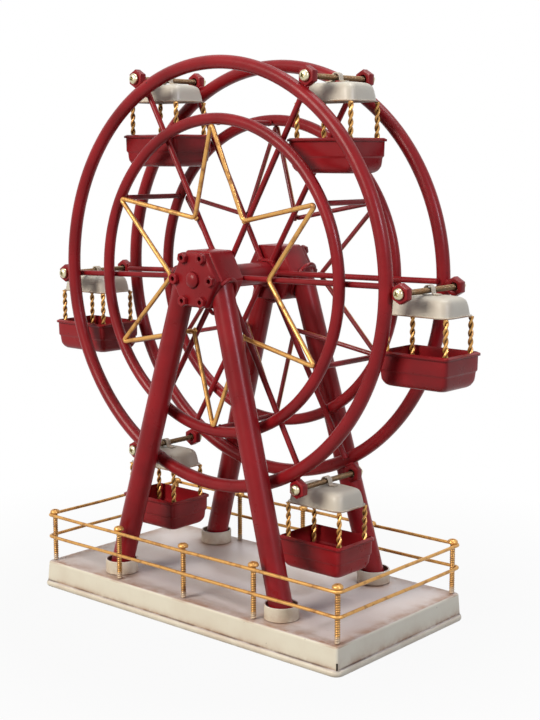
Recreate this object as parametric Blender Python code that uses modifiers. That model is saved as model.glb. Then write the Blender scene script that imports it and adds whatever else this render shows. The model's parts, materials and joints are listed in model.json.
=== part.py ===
"""Metal ferris wheel decoration, at real size: metres, +Z up.

A pressed tray carries four tube legs, which hold two bearing housings. A shaft
turns in them along Y and carries two outer rings, two inner rings, twelve spokes
and two wire stars. Six gondolas hang on long screws between the outer rings.
The origin is on the ground under the middle of the tray, and the front is at -Y.
"""

import math

import bmesh
import bpy
from mathutils import Matrix, Vector

MM = 0.001

# General clearances
fit_gap = 0.3 * MM          # between pieces that touch or are welded
running_gap = 0.5 * MM      # between the turning wheel and the stand
overrun = 3.0 * MM          # how far a cutter runs past what it cuts
merge_distance = 0.005 * MM

# Tray
base_length = 214.6 * MM    # over the rolled lip
base_width = 110.0 * MM
base_height = 14.8 * MM
tray_sheet = 1.0 * MM
tray_draft = 0.8 * MM       # the wall leans out by this much
tray_corner = 2.0 * MM      # rounding of its upright edges
tray_edge = 1.4 * MM        # rounding along its top
lip_dia = 3.8 * MM
lip_proud = 1.5 * MM        # the lip stands out past the wall
lip_bend = 3.0 * MM         # to the middle of the rolled bead at each corner
lip_flat = 0.3 * MM         # the lip is worn flat underneath by this depth

# Leg sockets and legs
socket_inset_x = 48.8 * MM  # from the end of the tray to a socket's middle
socket_inset_y = 16.5 * MM
socket_dia = 17.8 * MM
socket_height = 7.1 * MM
socket_wall = 0.9 * MM
socket_floor = 1.0 * MM
leg_dia = 12.4 * MM
leg_head_x = 13.0 * MM      # where the leg's axis passes, beside the shaft
leg_head_lean = 3.5 * MM    # the front left and back right legs meet the hub further out
leg_head_y = 30.9 * MM
leg_head_drop = 10.0 * MM

# Bearing housings, their covers and bushes
housing_across_flats = 29.4 * MM
housing_inner_y = 19.2 * MM
housing_edge = 0.8 * MM
cover_face_y = 40.0 * MM
cover_across_flats = 27.6 * MM
cover_thickness = 3.2 * MM
cover_edge = 1.2 * MM
cover_nut_circle = 12.8 * MM
cover_nut_across_flats = 5.2 * MM
cover_nut_height = 2.3 * MM
cover_nut_hole_dia = 2.6 * MM
weld_depth = 0.2 * MM       # how far a welded detail sinks in
sleeve_wall = 0.8 * MM      # raised rim round the head of each leg
sleeve_proud = 1.2 * MM
bush_wall = 2.4 * MM

# Rail
post_inset_x = 5.0 * MM     # from the end of the tray to a corner post's middle
post_inset_y = 5.9 * MM
post_mid_share = 0.479      # the second post's place between the middle and the corner
post_height = 29.4 * MM
screw_dia = 3.0 * MM        # long pan-head screws serve as posts and as gondola pivots
screw_head_dia = 5.6 * MM
screw_head_height = 2.2 * MM
screw_head_flat = 1.9 * MM  # radius of the flat on the domed head
screw_head_dome = 0.9 * MM
rail_dia = 1.8 * MM
upper_rail_height = 26.2 * MM
lower_rail_height = 13.9 * MM

# Shaft and wheel
shaft_dia = 12.0 * MM
axle_dia = 8.0 * MM
axle_proud = 2.7 * MM       # the axle's domed end past the cover
axle_dome = 1.0 * MM
outer_ring_radius = 109.8 * MM
outer_ring_tube = 7.0 * MM
outer_ring_y = 24.1 * MM
ring_spacing = 28.3 * MM    # from the outer ring's middle in to the inner ring's
inner_ring_tube = 6.0 * MM
spoke_dia = 3.0 * MM
collar_wall = 1.1 * MM      # weld collar where the spokes meet the shaft
collar_width = 3.0 * MM
spacer_dia = 2.8 * MM
spacer_inset = 1.6 * MM     # the spacers lie inside the inner ring's own circle
star_wire = 2.5 * MM
star_inner_radius = 34.5 * MM
star_tip_bend = 1.7 * MM
star_inner_bend = 3.0 * MM
star_seat_angle = math.radians(38.0)
eye_across_flats = 8.7 * MM
eye_thickness = 4.2 * MM
eye_hole_dia = 4.4 * MM
eye_root_gap = 0.25 * MM    # between the outer ring and an eye, bridged by its weld
eye_set_in = 1.5 * MM       # an eye's middle lies nearer to the gondola than the ring's
eye_weld_dia = 3.6 * MM
pivot_nut_across_flats = 5.5 * MM
pivot_nut_height = 2.4 * MM

# The spokes and eyes were welded on by eye, a little off their sixty degrees
station_count = 6
spoke_errors = (1.0, -0.6, -1.2, 2.1, -1.6, -0.5)
eye_errors = (-0.2, -1.3, -1.2, 2.1, -1.6, -1.5)

# Gondolas
strap_width = 3.0 * MM
strap_sheet = 0.6 * MM
roof_length = 35.2 * MM
roof_width = 23.0 * MM
roof_draft = 2.4 * MM
roof_height = 9.2 * MM
roof_corner = 3.2 * MM
roof_edge = 2.8 * MM
roof_sheet = 0.7 * MM
roof_flange = 0.9 * MM
roof_drop = 11.4 * MM       # from the pivot down to the top of the roof's flange
wire_dia = 2.8 * MM
wire_rect_dia = 1.5 * MM
wire_rect_bend = 1.6 * MM
wire_inset = 1.7 * MM       # from the edge of the roof's rim to a hanger wire's middle
bucket_length = 39.6 * MM
bucket_width = 29.2 * MM
bucket_draft = 1.5 * MM
bucket_height = 16.2 * MM
bucket_corner = 3.0 * MM
bucket_edge = 2.6 * MM
bucket_sheet = 0.8 * MM
bucket_flange = 0.5 * MM
bucket_drop = 46.5 * MM     # from the pivot down to the bucket's floor
bucket_clearance = 2.1 * MM  # left over the tray by a bucket at its lowest
wire_dip = 7.5 * MM         # how far the wires reach down into the bucket

# How finely round things are cut
ring_segments = 48
ring_sides = 8
tube_sides = 20
rod_sides = 8
screw_sides = 10
hole_sides = 10
bend_points = 3
bend_sides_resolution = 1
edge_segments = 2

# Places that follow from the sizes above
base_top = base_height
socket_x = base_length / 2 - socket_inset_x
socket_y = base_width / 2 - socket_inset_y
post_x = base_length / 2 - post_inset_x
post_y = base_width / 2 - post_inset_y
inner_ring_radius = outer_ring_radius - ring_spacing
pivot_radius = outer_ring_radius + outer_ring_tube / 2 + eye_root_gap + eye_across_flats / 2
hub_height = base_top + bucket_clearance + bucket_drop + pivot_radius
leg_radius = leg_dia / 2
face_out = housing_across_flats / 2
sleeve_out = leg_radius + fit_gap + sleeve_wall
cover_back_y = cover_face_y - cover_thickness
housing_front_y = cover_back_y - fit_gap
spoke_root_y = housing_inner_y - running_gap - spoke_dia / 2
spoke_tip_y = outer_ring_y - outer_ring_tube / 2 - fit_gap - spoke_dia / 2
collar_inner = shaft_dia / 2 + fit_gap
eye_y = outer_ring_y - eye_set_in
eye_out_y = eye_y + eye_thickness / 2
rail_offset = screw_dia / 2 + fit_gap + rail_dia / 2
bucket_rim_drop = bucket_drop - bucket_height

red = (0.27, 0.022, 0.028)
gold = (0.58, 0.33, 0.085)
cream = (0.73, 0.68, 0.56)
zinc = (0.62, 0.60, 0.50)
dark_zinc = (0.17, 0.15, 0.09)
brass = (0.55, 0.40, 0.16)


def spoke_y(radius):
    """Distance of a spoke's middle from the wheel's mid-plane at a radius."""
    run = outer_ring_radius - collar_inner
    share = (radius - collar_inner) / run
    return spoke_root_y + (spoke_tip_y - spoke_root_y) * share


inner_ring_y = spoke_y(inner_ring_radius) + (spoke_dia + inner_ring_tube) / 2 + fit_gap
star_seat = (inner_ring_tube + star_wire) / 2 + fit_gap
star_tip_radius = inner_ring_radius - star_seat * math.cos(star_seat_angle)
star_tip_y = inner_ring_y + star_seat * math.sin(star_seat_angle)
star_inner_y = spoke_y(star_inner_radius) + (spoke_dia + star_wire) / 2 + fit_gap


def clear_scene():
    for obj in list(bpy.data.objects):
        bpy.data.objects.remove(obj, do_unlink=True)


def new_collection(name):
    collection = bpy.data.collections.new(name)
    bpy.context.scene.collection.children.link(collection)
    return collection


def material(name, colour, metallic, roughness):
    made = bpy.data.materials.get(name)
    if made is None:
        made = bpy.data.materials.new(name)
        made.use_nodes = True
        shader = made.node_tree.nodes["Principled BSDF"]
        shader.inputs["Base Color"].default_value = (*colour, 1.0)
        shader.inputs["Metallic"].default_value = metallic
        shader.inputs["Roughness"].default_value = roughness
        made.diffuse_color = (*colour, 1.0)
    return made


def move_to(obj, collection):
    for held in list(obj.users_collection):
        held.objects.unlink(obj)
    collection.objects.link(obj)


def object_from(name, bm, collection):
    mesh = bpy.data.meshes.new(name)
    bmesh.ops.recalc_face_normals(bm, faces=bm.faces)
    bm.to_mesh(mesh)
    bm.free()
    obj = bpy.data.objects.new(name, mesh)
    collection.objects.link(obj)
    return obj


def frozen(obj, collection):
    """Turn an object with modifiers, or a curve, into a plain closed mesh in place."""
    bpy.context.view_layer.update()
    evaluated = obj.evaluated_get(bpy.context.evaluated_depsgraph_get())
    mesh = bpy.data.meshes.new_from_object(evaluated)
    bm = bmesh.new()
    bm.from_mesh(mesh)
    bmesh.ops.remove_doubles(bm, verts=bm.verts, dist=merge_distance)
    bmesh.ops.recalc_face_normals(bm, faces=bm.faces)
    bm.to_mesh(mesh)
    bm.free()
    name = obj.name
    mesh.transform(obj.matrix_world)
    plain = bpy.data.objects.new(name, mesh)
    for modifier in list(obj.modifiers):
        operand = getattr(modifier, "object", None)
        if operand is not None:
            bpy.data.objects.remove(operand, do_unlink=True)
    bpy.data.objects.remove(obj, do_unlink=True)
    plain.name = name
    collection.objects.link(plain)
    return plain


def finish(obj, finish_material, parent=None):
    """Give a finished piece its material, smooth shading and parent."""
    obj.data.materials.clear()
    obj.data.materials.append(finish_material)
    obj.data.shade_smooth()
    obj.data.set_sharp_from_angle(angle=math.radians(35.0))
    if parent is not None:
        obj.parent = parent
        for modifier in obj.modifiers:
            modifier.object.parent = parent
    return obj


def combine(obj, other, operation):
    """Join or cut with another object, which stays behind as a hidden guide."""
    move_to(other, guides)
    other.hide_render = True
    other.display_type = "WIRE"
    modifier = obj.modifiers.new(operation.lower(), "BOOLEAN")
    modifier.operation = operation
    modifier.solver = "EXACT"
    modifier.object = other
    return obj


def along(start, end):
    """Matrix that lays a shape's Z axis from start to end, centred between them."""
    run = end - start
    turn = run.to_track_quat("Z", "Y").to_matrix().to_4x4()
    return Matrix.Translation((start + end) / 2) @ turn


def add_rod(bm, start, end, radius, sides, roll=0.0):
    """Add a closed round or polygonal rod between two points to a bmesh."""
    matrix = along(start, end) @ Matrix.Rotation(roll, 4, "Z")
    bmesh.ops.create_cone(
        bm, cap_ends=True, segments=sides, radius1=radius, radius2=radius,
        depth=(end - start).length, matrix=matrix)


def keep_below(bm, point, normal):
    """Trim a closed bmesh to the side of a plane that its normal points away from."""
    geometry = bm.verts[:] + bm.edges[:] + bm.faces[:]
    cut = bmesh.ops.bisect_plane(
        bm, geom=geometry, dist=merge_distance, plane_co=point, plane_no=normal,
        clear_outer=True)
    rim = [item for item in cut["geom_cut"] if isinstance(item, bmesh.types.BMEdge)]
    if rim:
        bmesh.ops.edgeloop_fill(bm, edges=rim)


def turned(name, profile, steps, collection):
    """Turn a profile of (radius, height) points, outer side downwards, about Z."""
    bm = bmesh.new()
    corners = [bm.verts.new((radius, 0.0, height)) for radius, height in profile]
    for first, second in zip(corners, corners[1:]):
        bm.edges.new((first, second))
    mesh = bpy.data.meshes.new(name)
    bm.to_mesh(mesh)
    bm.free()
    obj = bpy.data.objects.new(name, mesh)
    collection.objects.link(obj)
    screw = obj.modifiers.new("turn", "SCREW")
    screw.steps = steps
    screw.render_steps = steps
    screw.use_merge_vertices = True
    screw.merge_threshold = merge_distance
    screw.use_smooth_shade = True
    return frozen(obj, collection)


def bent_wire(name, corners, bends, radius, resolution, collection):
    """A closed loop of round wire through corners, each bent to its own radius."""
    points = []
    count = len(corners)
    for index, corner in enumerate(corners):
        before = (corners[index - 1] - corner).normalized()
        after = (corners[(index + 1) % count] - corner).normalized()
        half = before.angle(after) / 2
        reach = bends[index] / math.tan(half)
        first = corner + before * reach
        last = corner + after * reach
        middle = corner + (before + after).normalized() * (bends[index] / math.sin(half))
        for step in range(bend_points):
            share = step / (bend_points - 1)
            arm = (first - middle).lerp(last - middle, share).normalized()
            points.append(middle + arm * bends[index])
    curve = bpy.data.curves.new(name, "CURVE")
    curve.dimensions = "3D"
    curve.bevel_depth = radius
    curve.bevel_resolution = resolution
    spline = curve.splines.new("POLY")
    spline.points.add(len(points) - 1)
    for place, point in zip(spline.points, points):
        place.co = (*point, 1.0)
    spline.use_cyclic_u = True
    obj = bpy.data.objects.new(name, curve)
    collection.objects.link(obj)
    return frozen(obj, collection)


def pan(name, length, width, draft, top, bottom, open_below, corner, edge, flange, sheet):
    """A pressed sheet pan: tapered, round-edged, open on one side, with a flange.

    length and width are those of its open side, which is wider by the draft. corner
    rounds its upright edges and edge those round its closed side.
    """
    bm = bmesh.new()
    bmesh.ops.create_cube(bm, size=2.0)
    open_side = -1.0 if open_below else 1.0
    opened = [face for face in bm.faces
              if all(vert.co.z * open_side > 0 for vert in face.verts)]
    for vert in bm.verts:
        lean = 0.0 if vert.co.z * open_side > 0 else draft
        vert.co.x *= length / 2 - lean
        vert.co.y *= width / 2 - lean
        vert.co.z = top if vert.co.z > 0 else bottom
    bmesh.ops.delete(bm, geom=opened, context="FACES_ONLY")
    upright = [line for line in bm.edges
               if abs(line.verts[0].co.z - line.verts[1].co.z) > abs(top - bottom) / 2]
    bmesh.ops.bevel(
        bm, geom=upright, offset=corner, segments=edge_segments, profile=0.5,
        affect="EDGES", material=-1)
    middle = (top + bottom) / 2
    closed = [line for line in bm.edges
              if all((vert.co.z - middle) * open_side < 0 for vert in line.verts)]
    bmesh.ops.bevel(
        bm, geom=closed, offset=edge, segments=edge_segments, profile=0.5,
        affect="EDGES", material=-1)
    rim = [line for line in bm.edges if line.is_boundary]
    if flange:
        drawn = bmesh.ops.extrude_edge_only(bm, edges=rim)["geom"]
        for vert in drawn:
            if isinstance(vert, bmesh.types.BMVert):
                vert.co.x *= (length / 2 + flange) / (length / 2)
                vert.co.y *= (width / 2 + flange) / (width / 2)
    obj = object_from(name, bm, parts)
    outward = sum((face.normal.dot(face.center - Vector((0, 0, middle)))
                   for face in obj.data.polygons), 0.0)
    if outward < 0:
        obj.data.flip_normals()
    wall = obj.modifiers.new("sheet", "SOLIDIFY")
    wall.thickness = sheet
    wall.offset = -1.0
    wall.use_even_offset = True
    return obj


def empty(name, place, parent=None):
    holder = bpy.data.objects.new(name, None)
    holder.empty_display_size = shaft_dia
    parts.objects.link(holder)
    holder.location = place
    if parent is not None:
        holder.parent = parent
    return holder


def copied(source, name, place):
    """Another object with the same mesh and material, moved to a place."""
    other = bpy.data.objects.new(name, source.data)
    parts.objects.link(other)
    other.location = place
    other.rotation_euler = source.rotation_euler
    other.parent = source.parent
    return other


def on_wheel(radius, angle, y):
    """A point round the shaft, seen from the front with the angle from +X."""
    return Vector((radius * math.cos(angle), y, radius * math.sin(angle)))


def build_tray():
    wall_length = base_length - 2 * lip_proud
    wall_width = base_width - 2 * lip_proud
    bead = lip_dia / 2
    tray = pan("base_tray", wall_length, wall_width, tray_draft, base_top,
               bead, True, tray_corner, tray_edge, 0.0, tray_sheet)
    half_x = base_length / 2 - bead
    half_y = base_width / 2 - bead
    height = bead - lip_flat
    corners = [Vector((sx * half_x, sy * half_y, height))
               for sx, sy in ((-1, -1), (1, -1), (1, 1), (-1, 1))]
    lip = bent_wire("lip_guide", corners, [lip_bend] * len(corners), bead, 2, parts)
    combine(tray, lip, "UNION")
    bm = bmesh.new()
    bmesh.ops.create_cube(bm, size=1.0)
    size = (base_length + overrun, base_width + overrun, overrun)
    bmesh.ops.scale(bm, vec=size, verts=bm.verts)
    bmesh.ops.translate(bm, vec=(0, 0, -overrun / 2), verts=bm.verts)
    ground = object_from("ground_cutter", bm, parts)
    combine(tray, ground, "DIFFERENCE")
    finish(tray, material("tray_cream_enamel", cream, 0.0, 0.5))


def corner_names():
    """Name and signs of the four corners, in the order they are made."""
    for depth, sy in (("front", -1), ("back", 1)):
        for side, sx in (("left", -1), ("right", 1)):
            yield depth + "_" + side, sx, sy


def build_sockets():
    radius = socket_dia / 2
    inner = radius - socket_wall
    profile = [(0, socket_floor), (inner, socket_floor), (inner, socket_height),
               (radius, socket_height), (radius, 0), (0, 0)]
    finish_material = material("socket_cream_enamel", cream, 0.0, 0.5)
    first = None
    for name, sx, sy in corner_names():
        place = Vector((sx * socket_x, sy * socket_y, base_top + fit_gap))
        if first is None:
            first = turned("leg_socket_" + name, profile, tube_sides, parts)
            first.location = place
            finish(first, finish_material)
        else:
            copied(first, "leg_socket_" + name, place)


def leg_axis(sx, sy):
    """Foot and head points of a leg's axis, the head beyond the housing's face."""
    foot = Vector((sx * socket_x, sy * socket_y, base_top + fit_gap + socket_height / 2))
    head_x = leg_head_x + (leg_head_lean if sx * sy > 0 else 0.0)
    head = Vector((sx * head_x, sy * leg_head_y, hub_height - leg_head_drop))
    return foot, head


def leg_plane(sx, out):
    """Point and outward normal of the housing face that a leg meets."""
    tilt = math.pi / station_count
    normal = Vector((sx * math.cos(tilt), 0.0, -math.sin(tilt)))
    return Vector((0.0, 0.0, hub_height)) + normal * out, normal


def build_legs():
    finish_material = material("leg_red_enamel", red, 0.0, 0.42)
    floor = base_top + fit_gap + socket_floor + fit_gap
    for name, sx, sy in corner_names():
        foot, head = leg_axis(sx, sy)
        axis = (head - foot).normalized()
        dip = leg_radius * math.sqrt(1.0 - axis.z ** 2)
        start = foot + axis * ((floor + dip - foot.z) / axis.z)
        bm = bmesh.new()
        add_rod(bm, start, head + axis * leg_dia, leg_radius, tube_sides)
        point, normal = leg_plane(sx, face_out + fit_gap)
        keep_below(bm, point, -normal)
        leg = object_from("leg_" + name, bm, parts)
        finish(leg, finish_material)


def hexagon(bm, y_from, y_to, across_flats, edge, centre, sides=6, roll=0.0):
    """Add a hexagonal block along Y, corners to left and right, edges rounded."""
    radius = across_flats / 2 / math.cos(math.pi / sides)
    ring = bmesh.ops.create_cone(
        bm, cap_ends=True, segments=sides, radius1=radius, radius2=radius,
        depth=abs(y_to - y_from))
    turn = Matrix.Rotation(roll, 4, "Y") @ Matrix.Rotation(math.pi / 2, 4, "X")
    turn = turn @ Matrix.Rotation(math.pi / sides, 4, "Z")
    move = Matrix.Translation(centre + Vector((0, (y_from + y_to) / 2, 0)))
    bmesh.ops.transform(bm, matrix=move @ turn, verts=ring["verts"])
    if edge:
        lines = list({line for vert in ring["verts"] for line in vert.link_edges})
        bmesh.ops.bevel(
            bm, geom=lines, offset=edge, segments=edge_segments, profile=0.5,
            affect="EDGES", material=-1)


def build_housings():
    finish_material = material("housing_red_enamel", red, 0.0, 0.42)
    centre = Vector((0.0, 0.0, hub_height))
    for name, sy in (("front", -1), ("back", 1)):
        bm = bmesh.new()
        hexagon(bm, sy * housing_front_y, sy * housing_inner_y, housing_across_flats,
                housing_edge, centre)
        housing = object_from("bearing_housing_" + name, bm, parts)
        for sx in (-1, 1):
            foot, head = leg_axis(sx, sy)
            axis = (head - foot).normalized()
            bm = bmesh.new()
            add_rod(bm, head - axis * leg_dia, head + axis * leg_dia, sleeve_out, tube_sides)
            keep_below(bm, *leg_plane(sx, face_out + sleeve_proud))
            front = Vector((0, sy * housing_front_y, 0))
            keep_below(bm, front, Vector((0, sy, 0)))
            combine(housing, object_from("sleeve_guide", bm, parts), "UNION")
            bm = bmesh.new()
            add_rod(bm, head - axis * leg_dia, head + axis * leg_dia,
                    leg_radius + fit_gap, tube_sides)
            point, normal = leg_plane(sx, face_out)
            keep_below(bm, point, -normal)
            combine(housing, object_from("leg_seat_cutter", bm, parts), "DIFFERENCE")
        bm = bmesh.new()
        bore = axle_dia / 2 + fit_gap + bush_wall + fit_gap
        add_rod(bm, centre + Vector((0, sy * (housing_inner_y - overrun), 0)),
                centre + Vector((0, sy * (housing_front_y + overrun), 0)), bore, tube_sides)
        combine(housing, object_from("bore_cutter", bm, parts), "DIFFERENCE")
        finish(housing, finish_material)


def build_covers():
    finish_material = material("cover_red_enamel", red, 0.0, 0.42)
    centre = Vector((0.0, 0.0, hub_height))
    for name, sy in (("front", -1), ("back", 1)):
        bm = bmesh.new()
        hexagon(bm, sy * cover_back_y, sy * cover_face_y, cover_across_flats, 0.0, centre)
        face = [line for line in bm.edges
                if all(abs(vert.co.y) > cover_back_y + cover_thickness / 2
                       for vert in line.verts)]
        bmesh.ops.bevel(bm, geom=face, offset=cover_edge, segments=edge_segments,
                        profile=0.5, affect="EDGES", material=-1)
        cover = object_from("housing_cover_" + name, bm, parts)
        nuts = bmesh.new()
        holes = bmesh.new()
        for index in range(station_count):
            angle = index * math.tau / station_count
            middle = centre + on_wheel(cover_nut_circle, angle, 0.0)
            inner = sy * (cover_face_y - weld_depth)
            outer = sy * (cover_face_y + cover_nut_height)
            hexagon(nuts, inner, outer, cover_nut_across_flats, 0.0, middle, roll=angle)
            add_rod(holes, middle + Vector((0, inner, 0)),
                    middle + Vector((0, outer + sy * overrun, 0)),
                    cover_nut_hole_dia / 2, hole_sides)
        combine(cover, object_from("cover_nut_guide", nuts, parts), "UNION")
        add_rod(holes, centre + Vector((0, sy * (cover_back_y - overrun), 0)),
                centre + Vector((0, sy * (cover_face_y + overrun), 0)),
                axle_dia / 2 + fit_gap, tube_sides)
        combine(cover, object_from("cover_hole_cutter", holes, parts), "DIFFERENCE")
        finish(cover, finish_material)


def build_bushes():
    inner = axle_dia / 2 + fit_gap
    outer = inner + bush_wall
    half = (housing_front_y - housing_inner_y) / 2
    profile = [(inner, half), (outer, half), (outer, -half), (inner, -half), (inner, half)]
    first = turned("shaft_bush_front", profile, tube_sides, parts)
    first.rotation_euler = (math.pi / 2, 0, 0)
    middle = (housing_front_y + housing_inner_y) / 2
    first.location = (0, -middle, hub_height)
    finish(first, material("bush_brass", brass, 1.0, 0.35))
    copied(first, "shaft_bush_back", (0, middle, hub_height))


def screw_profile(length):
    """A pan-head screw from its head at the top down to its plain end."""
    radius = screw_dia / 2
    head = screw_head_dia / 2
    return [(0, 0), (screw_head_flat, 0), (head, -screw_head_dome),
            (head, -screw_head_height), (radius, -screw_head_height),
            (radius, -length), (0, -length)]


def build_rail():
    finish_material = material("rail_gold_paint", gold, 0.7, 0.4)
    foot = base_top + fit_gap
    first = None
    middle = post_x * post_mid_share
    rows = (-post_x, -middle, 0.0, middle, post_x)
    for depth, sy in (("front", -1), ("back", 1)):
        for index, x in enumerate(rows):
            name = "rail_post_" + depth + "_" + str(index + 1)
            place = Vector((x, sy * post_y, foot + post_height))
            if first is None:
                first = turned(name, screw_profile(post_height), screw_sides, parts)
                first.location = place
                finish(first, finish_material)
            else:
                copied(first, name, place)
    for name, height in (("upper_rail", upper_rail_height), ("lower_rail", lower_rail_height)):
        half_x = post_x + rail_offset
        half_y = post_y + rail_offset
        corners = [Vector((sx * half_x, sy * half_y, foot + height))
                   for sx, sy in ((-1, -1), (1, -1), (1, 1), (-1, 1))]
        rail = bent_wire(name, corners, [rail_offset] * len(corners), rail_dia / 2,
                         bend_sides_resolution, parts)
        finish(rail, finish_material)


def build_shaft(wheel):
    """The tube shaft with an axle at each end, whose domed end passes the cover."""
    shoulder = housing_inner_y - fit_gap
    tip = cover_face_y + axle_proud
    axle = axle_dia / 2
    half = [(0, tip), (axle - axle_dome, tip), (axle, tip - axle_dome), (axle, shoulder),
            (shaft_dia / 2, shoulder)]
    profile = half + [(radius, -height) for radius, height in reversed(half)]
    shaft = turned("main_shaft", profile, tube_sides, parts)
    shaft.rotation_euler = (math.pi / 2, 0, 0)
    finish(shaft, material("shaft_red_enamel", red, 0.0, 0.42), wheel)


def ring(name, radius, tube, y):
    bpy.ops.mesh.primitive_torus_add(
        major_segments=ring_segments, minor_segments=ring_sides, major_radius=radius,
        minor_radius=tube / 2, rotation=(math.pi / 2, 0, 0), location=(0, y, 0))
    made = bpy.context.object
    made.name = name
    move_to(made, parts)
    return frozen(made, parts)


def station_angles(errors):
    """Angles of the six stations, each with its own small welding error."""
    step = math.tau / station_count
    return [index * step + math.radians(error) for index, error in enumerate(errors)]


def build_outer_rings(wheel):
    finish_material = material("outer_ring_red_enamel", red, 0.0, 0.42)
    for name, sy in (("front", -1), ("back", 1)):
        made = ring("outer_ring_" + name, outer_ring_radius, outer_ring_tube,
                    sy * outer_ring_y)
        eyes = bmesh.new()
        welds = bmesh.new()
        holes = bmesh.new()
        for angle in station_angles(eye_errors):
            middle = on_wheel(pivot_radius, angle, 0.0)
            inner = sy * (eye_y - eye_thickness / 2)
            outer = sy * eye_out_y
            hexagon(eyes, inner, outer, eye_across_flats, 0.0, middle,
                    roll=math.pi / station_count - angle)
            weld_end = pivot_radius - eye_hole_dia / 2 - eye_weld_dia / 4
            add_rod(welds, on_wheel(outer_ring_radius, angle, sy * outer_ring_y),
                    on_wheel(weld_end, angle, sy * eye_y), eye_weld_dia / 2,
                    rod_sides, math.pi / rod_sides)
            add_rod(holes, middle + Vector((0, inner - sy * overrun, 0)),
                    middle + Vector((0, outer + sy * overrun, 0)), eye_hole_dia / 2, hole_sides)
        combine(made, object_from("eye_guide", eyes, parts), "UNION")
        combine(made, object_from("eye_weld_guide", welds, parts), "UNION")
        combine(made, object_from("eye_hole_cutter", holes, parts), "DIFFERENCE")
        finish(made, finish_material, wheel)


def build_inner_rings(wheel):
    """Two inner rings; six spacer rods are welded to the front one."""
    finish_material = material("inner_ring_red_enamel", red, 0.0, 0.42)
    for name, sy in (("front", -1), ("back", 1)):
        made = ring("inner_ring_" + name, inner_ring_radius, inner_ring_tube,
                    sy * inner_ring_y)
        if sy < 0:
            spacers = bmesh.new()
            far = inner_ring_y - inner_ring_tube / 2 - fit_gap
            for index in range(station_count):
                angle = (index + 0.5) * math.tau / station_count
                radius = inner_ring_radius - spacer_inset
                add_rod(spacers, on_wheel(radius, angle, -inner_ring_y),
                        on_wheel(radius, angle, far), spacer_dia / 2, rod_sides)
            combine(made, object_from("spacer_guide", spacers, parts), "UNION")
        finish(made, finish_material, wheel)


def build_spokes(wheel):
    """Six rods on a weld collar, which run inside both rings of their side."""
    finish_material = material("spoke_red_enamel", red, 0.0, 0.42)
    outer = collar_inner + collar_wall
    half = collar_width / 2
    profile = [(collar_inner, half), (outer, half), (outer, -half), (collar_inner, -half),
               (collar_inner, half)]
    for name, sy in (("front", -1), ("back", 1)):
        collar = turned("spokes_" + name, profile, tube_sides, parts)
        collar.rotation_euler = (math.pi / 2, 0, 0)
        collar.location = (0, sy * spoke_root_y, 0)
        collar = frozen(collar, parts)
        rods = bmesh.new()
        for angle in station_angles(spoke_errors):
            start = collar_inner + collar_wall / 2
            add_rod(rods, on_wheel(start, angle, sy * spoke_y(start)),
                    on_wheel(outer_ring_radius, angle, sy * spoke_tip_y),
                    spoke_dia / 2, rod_sides)
        combine(collar, object_from("spoke_guide", rods, parts), "UNION")
        finish(collar, finish_material, wheel)


def build_stars(wheel):
    finish_material = material("star_gold_paint", gold, 0.7, 0.4)
    for name, sy in (("front", -1), ("back", 1)):
        corners = []
        for index, angle in enumerate(station_angles(spoke_errors)):
            tip = (index + 0.5) * math.tau / station_count
            corners.append(on_wheel(star_inner_radius, angle, sy * star_inner_y))
            corners.append(on_wheel(star_tip_radius, tip, sy * star_tip_y))
        bends = [star_inner_bend, star_tip_bend] * station_count
        star = bent_wire("star_" + name, corners, bends, star_wire / 2,
                         bend_sides_resolution, parts)
        finish(star, finish_material, wheel)


def build_pivot_screw(name):
    """A long screw along Y, head in front, with its nut behind the back eye."""
    head = -(eye_out_y + fit_gap + screw_head_height)
    nut_from = eye_out_y + fit_gap
    nut_to = nut_from + pivot_nut_height
    screw = turned(name, screw_profile(nut_to - head), screw_sides, parts)
    screw.rotation_euler = (math.pi / 2, 0, 0)
    screw.location = (0, head, 0)
    screw = frozen(screw, parts)
    bm = bmesh.new()
    hexagon(bm, nut_from, nut_to, pivot_nut_across_flats, 0.0, Vector())
    combine(screw, object_from("pivot_nut_guide", bm, parts), "UNION")
    screw = frozen(screw, parts)
    return finish(screw, material("pivot_screw_zinc", zinc, 1.0, 0.35))


def build_roof(name):
    """The pressed canopy with the strap that loops over its pivot screw."""
    roof = pan(name, roof_length, roof_width, roof_draft, roof_height - roof_drop,
               -roof_drop, True, roof_corner, roof_edge, roof_flange, roof_sheet)
    inner = screw_dia / 2 + fit_gap
    outer = inner + strap_sheet
    half = strap_width / 2
    profile = [(inner, half), (outer, half), (outer, -half), (inner, -half), (inner, half)]
    strap = turned("strap_guide", profile, screw_sides, parts)
    strap.rotation_euler = (math.pi / 2, 0, 0)
    combine(roof, frozen(strap, parts), "UNION")
    roof = frozen(roof, parts)
    return finish(roof, material("roof_cream_enamel", cream, 0.0, 0.5))


def build_bucket(name):
    bucket = pan(name, bucket_length, bucket_width, bucket_draft, -bucket_rim_drop,
                 -bucket_drop, False, bucket_corner, bucket_edge, bucket_flange,
                 bucket_sheet)
    bucket = frozen(bucket, parts)
    return finish(bucket, material("bucket_red_enamel", red, 0.0, 0.42))


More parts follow.
